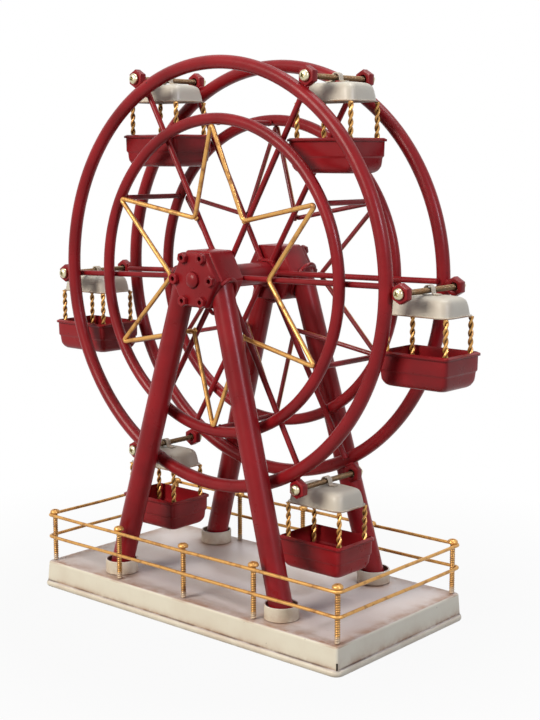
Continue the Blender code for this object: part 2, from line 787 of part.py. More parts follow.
def build_hanger(name):
    """Four hanger wires on a wire rectangle under the roof's rim."""
    half_x = roof_length / 2 + roof_flange - wire_inset
    half_y = roof_width / 2 + roof_flange - wire_inset
    top = -roof_drop - roof_sheet - fit_gap
    middle = top - wire_rect_dia / 2
    corners = [Vector((sx * half_x, sy * half_y, middle))
               for sx, sy in ((-1, -1), (1, -1), (1, 1), (-1, 1))]
    hanger = bent_wire(name, corners, [wire_rect_bend] * len(corners),
                       wire_rect_dia / 2, bend_sides_resolution, parts)
    legs = bmesh.new()
    for corner in corners:
        start = Vector((corner.x, corner.y, top))
        end = Vector((corner.x, corner.y, -bucket_rim_drop - wire_dip))
        add_rod(legs, start, end, wire_dia / 2, rod_sides)
    combine(hanger, object_from("hanger_wire_guide", legs, parts), "UNION")
    hanger = frozen(hanger, parts)
    return finish(hanger, material("hanger_gold_paint", gold, 0.7, 0.4))


def build_gondolas(wheel):
    """Six gondolas, each on its pivot empty, with the first one's meshes shared."""
    made = {}
    pieces = (("pivot_screw", build_pivot_screw), ("roof", build_roof),
              ("hanger", build_hanger), ("bucket", build_bucket))
    for index, angle in enumerate(station_angles(eye_errors)):
        label = "gondola_" + str(index + 1)
        pivot = empty(label + "_pivot", on_wheel(pivot_radius, angle, 0.0), wheel)
        for piece, build in pieces:
            name = label + "_" + piece
            if piece in made:
                copied(made[piece], name, (0, 0, 0)).parent = pivot
            else:
                made[piece] = build(name)
                made[piece].parent = pivot


def main():
    build_tray()
    build_sockets()
    build_legs()
    build_housings()
    build_covers()
    build_bushes()
    build_rail()
    wheel = empty("wheel_pivot", (0, 0, hub_height))
    build_shaft(wheel)
    build_outer_rings(wheel)
    build_inner_rings(wheel)
    build_spokes(wheel)
    build_stars(wheel)
    build_gondolas(wheel)


clear_scene()
parts = new_collection("metal_ferris_wheel_decoration")
guides = new_collection("guides")
main()
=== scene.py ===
"""Dresses the packed ferris wheel decoration in enamelled steel, gold paint and twisted wire.

Every new piece stands in for CAD nodes at their own place and size. Lengths are in metres
once multiplied by MM. The front of the wheel is at -Y and the shaft lies along Y.
"""
import json
import math

import bmesh
import bpy
from mathutils import Matrix, Vector, noise


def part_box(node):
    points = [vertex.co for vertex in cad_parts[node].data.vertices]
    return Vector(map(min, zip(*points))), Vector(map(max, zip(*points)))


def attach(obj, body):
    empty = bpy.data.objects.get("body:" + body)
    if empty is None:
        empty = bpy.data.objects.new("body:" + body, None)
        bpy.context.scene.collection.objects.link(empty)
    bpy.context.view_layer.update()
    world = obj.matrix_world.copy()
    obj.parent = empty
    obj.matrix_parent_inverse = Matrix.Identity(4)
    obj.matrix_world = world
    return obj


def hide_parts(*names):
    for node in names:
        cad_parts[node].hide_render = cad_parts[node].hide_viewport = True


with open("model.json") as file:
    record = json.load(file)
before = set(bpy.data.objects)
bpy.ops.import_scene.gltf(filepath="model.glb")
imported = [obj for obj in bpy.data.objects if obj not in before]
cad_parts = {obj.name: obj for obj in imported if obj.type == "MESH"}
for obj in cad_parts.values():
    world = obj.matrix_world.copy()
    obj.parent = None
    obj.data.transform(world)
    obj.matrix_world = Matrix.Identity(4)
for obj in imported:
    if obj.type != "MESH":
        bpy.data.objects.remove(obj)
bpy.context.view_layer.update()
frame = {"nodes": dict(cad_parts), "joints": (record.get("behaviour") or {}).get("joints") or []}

bl_info = {
    "name": "Ferris Wheel Decoration Finish",
    "version": (1, 0, 0),
    "blender": (4, 5, 0),
    "location": "3D View > Sidebar > Ferris Wheel",
    "description": "Dresses a metal ferris wheel ornament in enamel, gold paint and wire",
    "category": "Object",
}

MM = 0.001

# The frame as it was packed, before any piece is added
joint_places = {joint["name"]: Vector(joint["pos_m"]) for joint in frame["joints"]}
hub = joint_places["wheel_spin"]
gondola_numbers = range(1, 7)
pivots = {number: joint_places["gondola_%d_hang" % number] for number in gondola_numbers}
tray_low, tray_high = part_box("base_tray")
deck = tray_high.z
fit_gap = 0.3 * MM
weld_distance = 0.004 * MM
thread_depth = 0.42 * MM
arch_radius = 1.05 * MM
head_width = 5.6 * MM
head_height = 2.2 * MM
to_back = Vector((0, 1, 0))
to_front = -to_back

# The spokes were welded on by eye, a little off their sixty degrees
station_count = 6
spoke_errors = (1.0, -0.6, -1.2, 2.1, -1.6, -0.5)
sides = (("front", -1), ("back", 1))
around = ((-1, -1), (1, -1), (1, 1), (-1, 1))
corners = (("front_left", -1, -1), ("front_right", 1, -1),
           ("back_left", -1, 1), ("back_right", 1, 1))


def linear(hex_colour):
    """Linear RGBA of six sRGB hex digits."""
    channels = [int(hex_colour[start:start + 2], 16) / 255 for start in (0, 2, 4)]
    return tuple(level / 12.92 if level <= 0.04045 else ((level + 0.055) / 1.055) ** 2.4
                 for level in channels) + (1.0,)


def length(name, description, millimetres):
    return bpy.props.FloatProperty(
        name=name, description=description, default=millimetres * MM, min=0.0,
        precision=4, unit="LENGTH")


def colour(name, description, hex_colour):
    return bpy.props.FloatVectorProperty(
        name=name, description=description, default=linear(hex_colour), size=4,
        min=0.0, max=1.0, subtype="COLOR")


class FERRIS_PG_stand(bpy.types.PropertyGroup):
    """Sizes of the tray, legs, hub and rail."""
    sheet: length("Tray sheet", "Thickness of the pressed tray", 1.0)
    tray_draft: length("Tray draft", "How far the tray's wall leans out", 0.8)
    tray_corner: length("Tray corner", "Rounding of the tray's upright edges", 1.6)
    tray_edge: length("Tray edge", "Rounding along the tray's top", 1.4)
    lip: length("Rolled lip", "Diameter of the bead round the tray's foot", 3.8)
    lip_proud: length("Lip stand-out", "How far the bead stands out past the wall", 1.5)
    lip_bend: length("Lip bend", "Bend of the bead's middle at each corner", 3.0)
    lip_flat: length("Lip flat", "How much of the bead is pressed flat where it rests", 0.3)
    socket: length("Socket", "Outer diameter of a leg socket", 17.8)
    socket_wall: length("Socket wall", "Wall of a leg socket", 0.9)
    leg: length("Leg", "Diameter of a leg tube", 12.4)
    housing: length("Housing", "Across the flats of a bearing housing", 29.4)
    cover: length("Cover", "Across the flats of a housing cover", 27.6)
    cover_thickness: length("Cover thickness", "Thickness of a housing cover", 3.2)
    nut_circle: length("Nut circle", "Radius of the circle of six nuts on a cover", 12.8)
    nut: length("Cover nut", "Across the flats of a cover's nuts", 5.2)
    rail: length("Rail wire", "Diameter of the rail wires", 1.8)
    pitch: length("Thread pitch", "Pitch of the threads on posts and pivots", 1.2)


class FERRIS_PG_wheel(bpy.types.PropertyGroup):
    """Sizes of the rings, spokes, star and shaft."""
    outer_radius: length("Outer ring", "Radius of an outer ring's middle line", 109.8)
    outer_tube: length("Outer tube", "Diameter of an outer ring's tube", 7.0)
    inner_radius: length("Inner ring", "Radius of an inner ring's middle line", 81.5)
    inner_tube: length("Inner tube", "Diameter of an inner ring's tube", 6.0)
    spoke: length("Spoke", "Diameter of a spoke", 3.0)
    spacer: length("Spacer", "Diameter of a rod between the inner rings", 2.8)
    star: length("Star wire", "Diameter of the star's wire", 2.5)
    star_radius: length("Star waist", "Radius of the star's inner corners", 34.5)
    shaft: length("Shaft", "Diameter of the main shaft", 12.0)
    axle: length("Axle", "Diameter of the axle in the bearings", 8.0)
    eye: length("Pivot eye", "Across the flats of a pivot eye", 8.7)
    eye_hole: length("Eye hole", "Diameter of a pivot eye's hole", 4.4)


class FERRIS_PG_gondola(bpy.types.PropertyGroup):
    """Sizes of a gondola, with drops measured down from its pivot."""
    screw: length("Pivot screw", "Diameter of a pivot screw's thread", 3.0)
    roof_length: length("Canopy length", "Length of the canopy over its open side", 35.2)
    roof_width: length("Canopy width", "Width of the canopy over its open side", 23.0)
    roof_height: length("Canopy height", "Height of the canopy", 9.2)
    roof_drop: length("Canopy drop", "From the pivot down to the canopy's rim", 11.4)
    strap: length("Strap width", "Width of the strap over the pivot screw", 3.0)
    strand: length("Strand", "Diameter of one strand of a hanger wire", 1.4)
    twist: length("Twist", "Length of one full twist of a hanger wire", 8.2)
    bucket_length: length("Bucket length", "Length of the bucket's rim", 39.6)
    bucket_width: length("Bucket width", "Width of the bucket's rim", 29.2)
    bucket_height: length("Bucket height", "Height of the bucket", 16.2)
    bucket_drop: length("Bucket drop", "From the pivot down to the bucket's floor", 46.5)


class FERRIS_PG_finish(bpy.types.PropertyGroup):
    """Colours of the paints and metals."""
    red: colour("Red enamel", "Stand, wheel and buckets", "931C22")
    red_deep: colour("Deep red", "Where the enamel lies thick", "7C151A")
    chip: colour("Chips", "Bare primer where the enamel is knocked off", "2A1416")
    gold: colour("Gold paint", "Stars, hangers and rail", "D6A259")
    gold_worn: colour("Worn gold", "Brown wear in the gold paint", "8E5C2E")
    foot: colour("Post foot", "Cream overspray on the foot of each post", "C9B294")
    # painted shade in the grooves of threads and between twisted hanger strands; also the colour
    # of the dark specks on the cream enamel
    groove_shade_and_specks: colour("Grooves", "Brown in the threads and where gold paint is rubbed", "5A3A1C")
    cream: colour("Cream enamel", "Tray wall, sockets and lip", "E9E5D2")
    # painted shade: the tray's top is made greyer than its wall because less light falls on it
    deck_top_painted_shade: colour("Deck", "Greyer enamel on the tray's top", "D6CFCC")
    patina: colour("Patina", "Brown rub-through along the tray's edges", "A0714A")
    # painted shade in the crevice above the tray's lip and inside the sockets round the legs
    crevice_painted_shade: colour("Crevice", "Dirt in the joint above the tray's lip", "4A3020")
    canopy: colour("Canopy", "Off-white enamel of the canopies", "CBC7B8")
    zinc: colour("Zinc", "Yellow zinc plate on the screw heads", "D2CCAA")
    rod: colour("Rod", "Dull plate on the long screws", "80705A")
    brass: colour("Brass", "Bearing bushes", "B58E45")


# Node trees

def add_node(tree, kind, inputs=(), **settings):
    """Add a node with its settings; inputs maps sockets to values or to other sockets."""
    node = tree.nodes.new(kind)
    for name, value in settings.items():
        setattr(node, name, value)
    for socket, value in dict(inputs).items():
        if isinstance(value, bpy.types.NodeSocket):
            tree.links.new(value, node.inputs[socket])
        else:
            node.inputs[socket].default_value = value
    return node


def started_material(name, metallic, specular=0.5):
    """A material's tree, its shader and its object coordinates."""
    made = bpy.data.materials.new(name)
    made.use_nodes = True
    tree = made.node_tree
    tree.nodes.clear()
    shader = add_node(tree, "ShaderNodeBsdfPrincipled",
                      {"Metallic": metallic, "Specular IOR Level": specular})
    add_node(tree, "ShaderNodeOutputMaterial", {"Surface": shader.outputs[0]})
    where = add_node(tree, "ShaderNodeTexCoord").outputs["Object"]
    return made, tree, shader, where


def patches(tree, where, millimetres, low, high, least=0.0, most=1.0, detail=3.0,
            roughness=0.55):
    """Cloudy patches of a real size, from least to most as the cloud goes from low to
    high."""
    cloud = add_node(tree, "ShaderNodeTexNoise",
                     {"Vector": where, "Scale": 1.0 / (millimetres * MM), "Detail": detail,
                      "Roughness": roughness}).outputs["Fac"]
    return add_node(tree, "ShaderNodeMapRange",
                    {0: cloud, 1: low, 2: high, 3: least, 4: most}).outputs[0]


def pebbled(tree, shader, where, millimetres, depth, strength, detail):
    """Give a shader a fine relief, its pebbles of a real size and depth."""
    relief = patches(tree, where, millimetres, 0.0, 1.0, detail=detail)
    bump = add_node(tree, "ShaderNodeBump",
                    {"Strength": strength, "Distance": depth, "Height": relief})
    tree.links.new(bump.outputs[0], shader.inputs["Normal"])


def coated(tree, base, *coats):
    """Lay colours over a base, each by its own share."""
    for share, coat in coats:
        base = add_node(tree, "ShaderNodeMix", {0: share, 6: base, 7: coat},
                        data_type="RGBA").outputs[2]
    return base


def sprayed_red_enamel(chip_level=0.79):
    """Alkyd enamel sprayed on steel tube: an even dark red with a soft satin gloss, a fine
    orange peel, slightly deeper where it lies thick, and dark pinholes where it chipped."""
    name = "sprayed_red_enamel_%d" % round(chip_level * 100)
    if name in bpy.data.materials:
        return bpy.data.materials[name]
    paint = bpy.context.scene.ferris_finish
    made, tree, shader, where = started_material(name, 0.0, 0.22)
    thick = patches(tree, where, 26.0, 0.35, 0.65)
    chips = patches(tree, where, 1.9, chip_level, chip_level + 0.02, detail=2.0)
    body = coated(tree, paint.red, (thick, paint.red_deep), (chips, paint.chip))
    tree.links.new(body, shader.inputs["Base Color"])
    smear = patches(tree, where, 7.0, 0.3, 0.7, 0.26, 0.38)
    tree.links.new(smear, shader.inputs["Roughness"])
    # the peel is drawn at twice its real 0.6 mm, the finest that shows
    pebbled(tree, shader, where, 1.3, 0.05 * MM, 0.35, 1.0)
    return made


def worn_gold_paint(name="worn_gold_paint", foot=None):
    """Bronze-powder gold paint over steel wire: satin and half metallic, with soft brown
    rubs, and painted shade in dark brown where the attribute for worn spots and groove shade is
    high, as in the grooves of a thread and between twisted strands, and red where the overspray
    attribute is. With a foot height, the paint below it is the tray's cream overspray."""
    if name in bpy.data.materials:
        return bpy.data.materials[name]
    paint = bpy.context.scene.ferris_finish
    made, tree, shader, where = started_material(name, 0.5)
    rub = patches(tree, where, 4.2, 0.50, 0.74, detail=4.0)
    wear_and_groove_shade, overspray = (add_node(tree, "ShaderNodeAttribute", attribute_name=key).outputs["Fac"]
                       for key in ("wear_and_groove_shade", "overspray"))
    body = coated(tree, paint.gold, (rub, paint.gold_worn), (wear_and_groove_shade, paint.groove_shade_and_specks),
                  (overspray, paint.red_deep))
    # only the gold powder is metallic, and less so where it is rubbed
    metallic = add_node(tree, "ShaderNodeMapRange", {0: rub, 3: 0.55, 4: 0.30}).outputs[0]
    masks = [add_node(tree, "ShaderNodeMath", {0: 1.0, 1: overspray},
                      operation="SUBTRACT").outputs[0]]
    if foot is not None:
        fade = 0.8 * MM
        height = add_node(tree, "ShaderNodeSeparateXYZ", {0: where}).outputs["Z"]
        above = add_node(tree, "ShaderNodeMapRange",
                         {0: height, 1: foot - fade, 2: foot + fade}).outputs[0]
        body = coated(tree, paint.foot, (above, body))
        masks.append(above)
    for mask in masks:
        metallic = add_node(tree, "ShaderNodeMath", {0: metallic, 1: mask},
                            operation="MULTIPLY").outputs[0]
    satin = add_node(tree, "ShaderNodeMapRange", {0: rub, 3: 0.32, 4: 0.52}).outputs[0]
    tree.links.new(body, shader.inputs["Base Color"])
    tree.links.new(metallic, shader.inputs["Metallic"])
    tree.links.new(satin, shader.inputs["Roughness"])
    pebbled(tree, shader, where, 0.9, 0.04 * MM, 0.4, 2.0)
    return made


def worn_cream_enamel(name, body_colour, shaded_top_colour):
    """Cream enamel on pressed sheet: satin, with painted shade making it greyer where it faces
    up, soft brown smudges where the attribute for worn spots is high, and painted shade as a dark
    line in the crevices where the crevice shade attribute is."""
    if name in bpy.data.materials:
        return bpy.data.materials[name]
    paint = bpy.context.scene.ferris_finish
    made, tree, shader, where = started_material(name, 0.0)
    normal = add_node(tree, "ShaderNodeNewGeometry").outputs["Normal"]
    upward = add_node(tree, "ShaderNodeSeparateXYZ", {0: normal}).outputs["Z"]
    # painted shade: faces turned up are made greyer, as the light falls on them less
    level = add_node(tree, "ShaderNodeMapRange", {0: upward, 1: 0.6, 2: 0.95}).outputs[0]
    yellowed = patches(tree, where, 22.0, 0.42, 0.75, 0.0, 0.16)
    # the smudges come and go every 9 mm, with a finer grain in them, and the painted crevice
    # shade every 14
    marks = []
    for key, spread in (("wear_and_groove_shade", patches(tree, where, 9.0, 0.34, 0.60, 0.25, 1.0, 5.0, 0.62)),
                        ("crevice_shade", patches(tree, where, 14.0, 0.38, 0.55, 0.25, 1.0))):
        mark = add_node(tree, "ShaderNodeAttribute", attribute_name=key).outputs["Fac"]
        marks.append(add_node(tree, "ShaderNodeMath", {0: mark, 1: spread},
                              operation="MULTIPLY").outputs[0])
    rubbed, crevice_shading = marks
    specks = patches(tree, where, 2.0, 0.75, 0.78, 0.0, 0.6, 2.0)
    body = coated(tree, body_colour, (yellowed, paint.patina), (level, shaded_top_colour),
                  (rubbed, paint.patina), (crevice_shading, paint.crevice_painted_shade), (specks, paint.groove_shade_and_specks))
    tree.links.new(body, shader.inputs["Base Color"])
    satin = patches(tree, where, 22.0, 0.3, 0.7, 0.34, 0.50)
    tree.links.new(satin, shader.inputs["Roughness"])
    pebbled(tree, shader, where, 1.6, 0.04 * MM, 0.25, 2.0)
    return made


def flat_black():
    """Painted shade: a flat dark finish for the shadowed inside of a hole or gap too deep to see
    into.
    """
    if "flat_black" in bpy.data.materials:
        return bpy.data.materials["flat_black"]
    made, _, shader, _ = started_material("flat_black", 0.0, 0.1)
    shader.inputs["Base Color"].default_value = linear("120A0A")
    shader.inputs["Roughness"].default_value = 0.9
    return made


def plated_steel(name, tone, roughness, blotch_mm):
    """Zinc-plated steel: a metal with faint yellow blotches from its passivation, and a
    gloss that wears dull in patches."""
    if name in bpy.data.materials:
        return bpy.data.materials[name]
    paint = bpy.context.scene.ferris_finish
    made, tree, shader, where = started_material(name, 1.0)
    blotch = patches(tree, where, blotch_mm, 0.45, 0.7, 0.0, 0.45)
    wear_and_groove_shade = add_node(tree, "ShaderNodeAttribute", attribute_name="wear_and_groove_shade").outputs["Fac"]
    # painted shade: dark brown in the thread's grooves, by the attribute for worn spots and
    # groove shade
    body = coated(tree, tone, (blotch, paint.gold_worn), (wear_and_groove_shade, paint.groove_shade_and_specks))
    tree.links.new(body, shader.inputs["Base Color"])
    dull = patches(tree, where, 2.0, 0.3, 0.7, roughness, roughness + 0.16)
    tree.links.new(dull, shader.inputs["Roughness"])
    return made


# Mesh tools

def piece(name, bm, finish_material, body, nodes, sharp=35.0):
    """Make a finished piece from a bmesh: its place is in its mesh."""
    mesh = bpy.data.meshes.new(name)
    bm.to_mesh(mesh)
    bm.free()
    mesh.shade_smooth()
    mesh.set_sharp_from_angle(angle=math.radians(sharp))
    mesh.materials.append(finish_material)
    obj = bpy.data.objects.new(name, mesh)
    bpy.context.scene.collection.objects.link(obj)
    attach(obj, body)
    if nodes:
        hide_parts(*nodes)
    return obj


def tidied(bm):
    bmesh.ops.remove_doubles(bm, verts=bm.verts, dist=weld_distance)
    bmesh.ops.recalc_face_normals(bm, faces=bm.faces)
    return bm


def rounded(bm, geom, offset, segments, affect="EDGES"):
    """Round edges, or the corners of an outline, by a bevel."""
    bmesh.ops.bevel(bm, geom=geom, offset=offset, segments=segments, profile=0.5,
                    affect=affect, material=-1)


def absorb(bm, part, matrix=Matrix()):
    """Add a bmesh's shape to another, placed by a matrix, and use it up."""
    tidied(part)
    bmesh.ops.transform(part, matrix=matrix, verts=part.verts)
    mesh = bpy.data.meshes.new("carried")
    part.to_mesh(mesh)
    part.free()
    bm.from_mesh(mesh)
    bpy.data.meshes.remove(mesh)


def pointing(direction, origin=Vector(), roll=0.0):
    """Matrix that lays a shape's Z axis along a direction, from an origin."""
    turn = Vector(direction).to_track_quat("Z", "Y").to_matrix().to_4x4()
    return Matrix.Translation(origin) @ turn @ Matrix.Rotation(roll, 4, "Z")


def lathed(profile, steps):
    """Turn a profile of (radius, height) points about Z."""
    bm = bmesh.new()
    row = [bm.verts.new((radius, 0.0, height)) for radius, height in profile]
    line = [bm.edges.new(pair) for pair in zip(row, row[1:])]
    bmesh.ops.spin(bm, geom=row + line, cent=(0, 0, 0), axis=(0, 0, 1), dvec=(0, 0, 0),
                   angle=math.tau, steps=steps, use_merge=True, use_duplicate=False)
    return tidied(bm)


def rod(start, end, radius, steps=24, rounding=0.0):
    """A straight rod between two points, its end edges rounded."""
    run = end - start
    profile = [(0, 0), (radius - rounding, 0), (radius, rounding),
               (radius, run.length - rounding), (radius - rounding, run.length),
               (0, run.length)]
    bm = lathed(profile, steps)
    bmesh.ops.transform(bm, matrix=pointing(run, start), verts=bm.verts)
    return bm


def wire(points, radius, cyclic=False, resolution=3):
    """A round wire along points, with closed ends."""
    curve = bpy.data.curves.new("wire", "CURVE")
    curve.dimensions = "3D"
    curve.bevel_depth = radius
    curve.bevel_resolution = resolution
    curve.use_fill_caps = not cyclic
    spline = curve.splines.new("POLY")
    spline.points.add(len(points) - 1)
    for place, point in zip(spline.points, points):
        place.co = (*point, 1.0)
    spline.use_cyclic_u = cyclic
    holder = bpy.data.objects.new("wire", curve)
    mesh = bpy.data.meshes.new_from_object(holder)
    bm = bmesh.new()
    bm.from_mesh(mesh)
    bpy.data.objects.remove(holder)
    bpy.data.curves.remove(curve)
    bpy.data.meshes.remove(mesh)
    return tidied(bm)


def bent_route(turns, bends, steps=6):
    """Points of a closed route through corners, each bent to its own radius."""
    points = []
    for index, corner in enumerate(turns):
        before = (turns[index - 1] - corner).normalized()
        after = (turns[(index + 1) % len(turns)] - corner).normalized()
        half = before.angle(after) / 2
        reach = bends[index] / math.tan(half)
        middle = corner + (before + after).normalized() * (bends[index] / math.sin(half))
        first = corner + before * reach - middle
        last = corner + after * reach - middle
        for step in range(steps + 1):
            arm = first.normalized().slerp(last.normalized(), step / steps)
            points.append(middle + arm * bends[index])
    return points


def filled_in(points, spacing):
    """The same closed route with extra points along its straight stretches."""
    out = []
    for start, end in zip(points, points[1:] + points[:1]):
        count = max(1, int((end - start).length / spacing))
        out += [start.lerp(end, step / count) for step in range(count)]
    return out


def rectangle_route(half_x, half_y, height, bend, spacing):
    """Points of a level rectangle round the middle, its corners bent to one radius."""
    turns = [Vector((sx * half_x, sy * half_y, height)) for sx, sy in around]
    return filled_in(bent_route(turns, [bend] * len(turns)), spacing)


def trimmed(bm, point, normal, two_rims=False):
    """Cut a closed bmesh at a plane, keep the side its normal points away from, and close
    the cut, which is a band between two rims where a ring is cut along its plane."""
    cut = bmesh.ops.bisect_plane(
        bm, geom=bm.verts[:] + bm.edges[:] + bm.faces[:], dist=weld_distance,
        plane_co=point, plane_no=normal, clear_outer=True)
    rim = [item for item in cut["geom_cut"] if isinstance(item, bmesh.types.BMEdge)]
    if two_rims:
        bmesh.ops.bridge_loops(bm, edges=rim)
    elif rim:
        bmesh.ops.edgeloop_fill(bm, edges=rim)
    return bm


def weld_blob(radius, seed, flat=0.7):
    """A small run of weld metal, lumpy and a little flattened."""
    bm = bmesh.new()
    bmesh.ops.create_icosphere(bm, subdivisions=3, radius=radius)
    for vert in bm.verts:
        lump = noise.noise(vert.co / radius * 1.3 + Vector((seed * 7.1, 0.0, 0.0)))
        vert.co *= 1.0 + 0.22 * lump
        vert.co.z *= flat
    return bm


def weld(bm, seat, along, *blob):
    """Add a run of weld metal to a bmesh, flattened along a direction."""
    absorb(bm, weld_blob(*blob), pointing(along, seat))


def sharp_rims(bm):
    """Level edges of a block where two faces meet at a right angle or so."""
    return [edge for edge in bm.edges
            if len(edge.link_faces) == 2 and edge.calc_face_angle() > math.radians(40)
            and abs(edge.verts[0].co.z - edge.verts[1].co.z) < weld_distance]


def hex_nut(across_flats, thickness, hole, chamfer):
    """A hexagon nut about Z from height zero, with a chamfered hole."""
    bm = bmesh.new()
    bmesh.ops.create_circle(bm, cap_ends=False, segments=6,
                            radius=across_flats / 2 / math.cos(math.pi / 6))
    bmesh.ops.subdivide_edges(bm, edges=bm.edges[:], cuts=3)
    bmesh.ops.create_circle(bm, cap_ends=False, segments=24, radius=hole / 2)
    bmesh.ops.bridge_loops(bm, edges=bm.edges[:])
    raised = bmesh.ops.extrude_face_region(bm, geom=bm.faces[:])["geom"]
    lifted = [item for item in raised if isinstance(item, bmesh.types.BMVert)]
    bmesh.ops.translate(bm, vec=(0, 0, thickness), verts=lifted)
    tidied(bm)
    rounded(bm, sharp_rims(bm), chamfer, 2)
    return bm


def hex_block(across_flats, height, edge, all_edges=True):
    """A solid hexagonal block about Z from height zero, with rounded edges."""
    bm = bmesh.new()
    corner_radius = across_flats / 2 / math.cos(math.pi / 6)
    bmesh.ops.create_cone(bm, cap_ends=True, segments=6, depth=height,
                          radius1=corner_radius, radius2=corner_radius)
    bmesh.ops.translate(bm, vec=(0, 0, height / 2), verts=bm.verts)
    rounded(bm, [line for line in bm.edges
                 if all_edges or all(vert.co.z > height / 2 for vert in line.verts)], edge, 4)
    return bm


def cut_out(bm, tool):
    """Cut a closed bmesh by another one, and use both up."""
    made = []
    for part in (bm, tool):
        mesh = bpy.data.meshes.new("cut")
        tidied(part).to_mesh(mesh)
        part.free()
        holder = bpy.data.objects.new("cut", mesh)
        bpy.context.scene.collection.objects.link(holder)
        made.append(holder)
    block, cutter = made
    modifier = block.modifiers.new("cut", "BOOLEAN")
    modifier.operation = "DIFFERENCE"
    modifier.object = cutter
    bpy.context.view_layer.update()
    mesh = bpy.data.meshes.new_from_object(
        block.evaluated_get(bpy.context.evaluated_depsgraph_get()))
    out = bmesh.new()
    out.from_mesh(mesh)
    for holder in made:
        old = holder.data
        bpy.data.objects.remove(holder)
        bpy.data.meshes.remove(old)
    bpy.data.meshes.remove(mesh)
    return out


def threaded(radius, run, pitch, depth, steps=16, rows=6):
    """A threaded rod about Z from height zero: a straight skin whose points are drawn in
    along a helix, with blunt ridges one pitch apart."""
    count = max(2, round(run / pitch * rows))
    profile = [(0, 0)] + [(radius, run * step / count) for step in range(count + 1)]
    bm = lathed(profile + [(0, run)], steps)
    for vert in bm.verts:
        reach = math.hypot(vert.co.x, vert.co.y)
        if reach < weld_distance:
            continue
        turn = math.atan2(vert.co.y, vert.co.x) / math.tau
        wave = abs(((vert.co.z / pitch - turn) % 1.0) * 2.0 - 1.0)
        slim = (radius - depth * wave) / reach
        vert.co.x *= slim
        vert.co.y *= slim
    return bm


def groove_share(reach, radius):
    """How deep a point of a thread lies, from 0 on a ridge to nearly 1 in a groove."""
    return 0.85 * min(max((radius - reach) / thread_depth, 0.0), 1.0)


def pan_head(diameter, height):
    """A pan head with a cross recess, its top at height zero and its foot below."""
    half = diameter / 2
    shares = ((0.0, 0.0), (0.35, -0.02), (0.62, -0.10), (0.83, -0.26), (0.95, -0.46),
              (1.0, -0.66), (1.0, -0.92), (0.95, -1.0), (0.0, -1.0))
    head = lathed([(half * across, height * down) for across, down in shares], 28)
    slot_width, slot_length, slot_depth = 0.20 * diameter, 0.66 * diameter, 0.62 * height
    for turn in (0.0, math.pi / 2):
        slot = bmesh.new()
        bmesh.ops.create_cube(slot, size=2.0)
        for vert in slot.verts:
            deep = vert.co.z < 0
            vert.co.x *= slot_length / 2 * (0.5 if deep else 1.0)
            vert.co.y *= slot_width / 2 * (0.7 if deep else 1.0)
            vert.co.z = -slot_depth if deep else height
        bmesh.ops.rotate(slot, verts=slot.verts, cent=(0, 0, 0),
                         matrix=Matrix.Rotation(turn, 3, "Z"))
        head = cut_out(head, slot)
    return head


def rounded_loop(half_x, half_y, corner, height, segments=5, cuts=9):
    """The outline of a rectangle with rounded corners, as a loop of edges."""
    bm = bmesh.new()
    bmesh.ops.create_grid(bm, x_segments=1, y_segments=1, size=1.0)
    bmesh.ops.scale(bm, vec=(half_x, half_y, 1.0), verts=bm.verts)
    rounded(bm, bm.verts[:], corner, segments, "VERTICES")
    bmesh.ops.delete(bm, geom=bm.faces[:], context="FACES_ONLY")
    straight = [edge for edge in bm.edges if edge.calc_length() > corner]
    bmesh.ops.subdivide_edges(bm, edges=straight, cuts=cuts)
    bmesh.ops.translate(bm, vec=(0, 0, height), verts=bm.verts)
    return bm


def lofted(sections):
    """Skin over rounded rectangles, each (half x, half y, corner, height), closed by the
    last one."""
    bm = rounded_loop(*sections[0])
    rim = bm.edges[:]
    old = sections[0]
    for new in sections[1:]:
        drawn = bmesh.ops.extrude_edge_only(bm, edges=rim)["geom"]
        rim = [item for item in drawn if isinstance(item, bmesh.types.BMEdge)]
        for vert in (item for item in drawn if isinstance(item, bmesh.types.BMVert)):
            for axis in (0, 1):
                reach = abs(vert.co[axis])
                flat, new_flat = old[axis] - old[2], new[axis] - new[2]
                if reach > flat:
                    reach = new_flat + (reach - flat) / old[2] * new[2]
                else:
                    reach = reach / flat * new_flat
                vert.co[axis] = math.copysign(reach, vert.co[axis])
            vert.co.z = new[3]
        old = new
    bmesh.ops.edgeloop_fill(bm, edges=rim)
    return bm


def faced_out(bm):
    """Turn an open shell's faces outwards from its middle."""
    tidied(bm)
    middle = sum((vert.co for vert in bm.verts), Vector()) / len(bm.verts)
    if sum(face.normal.dot(face.calc_center_median() - middle) * face.calc_area()
           for face in bm.faces) < 0:
        bmesh.ops.reverse_faces(bm, faces=bm.faces)
    return bm


def give_wall(obj, thickness):
    wall = obj.modifiers.new("sheet", "SOLIDIFY")
    wall.thickness = thickness
    wall.offset = -1.0
    wall.use_even_offset = True


def give_wear_and_shade(obj, wear_and_groove_shade, key="wear_and_groove_shade"):
    """Store a value from 0 to 1 for each point, by a function of its place: worn spots, painted
    shade in grooves, or painted shade in crevices, as the key says.
    """
    attribute = obj.data.attributes.new(key, "FLOAT", "POINT")
    for value, vert in zip(attribute.data, obj.data.vertices):
        value.value = wear_and_groove_shade(vert.co)


def on_wheel(radius, angle, y):
    """A point round the shaft, seen from the front with the angle from +X."""
    return hub + Vector((radius * math.cos(angle), y, radius * math.sin(angle)))


def depths(node):
    """How far a node's near and far faces lie from the wheel's middle plane."""
    low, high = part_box(node)
    return sorted((abs(low.y), abs(high.y)))


def spoke_angles():
    return [index * math.tau / station_count + math.radians(error)
            for index, error in enumerate(spoke_errors)]


# Stand

def post_places():
    """Node, foot and top height of each rail post, from its CAD solid."""
    for depth, _ in sides:
        for number in range(1, 6):
            node = "rail_post_%s_%d" % (depth, number)
            low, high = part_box(node)
            yield node, Vector(((low.x + high.x) / 2, (low.y + high.y) / 2, low.z)), high.z


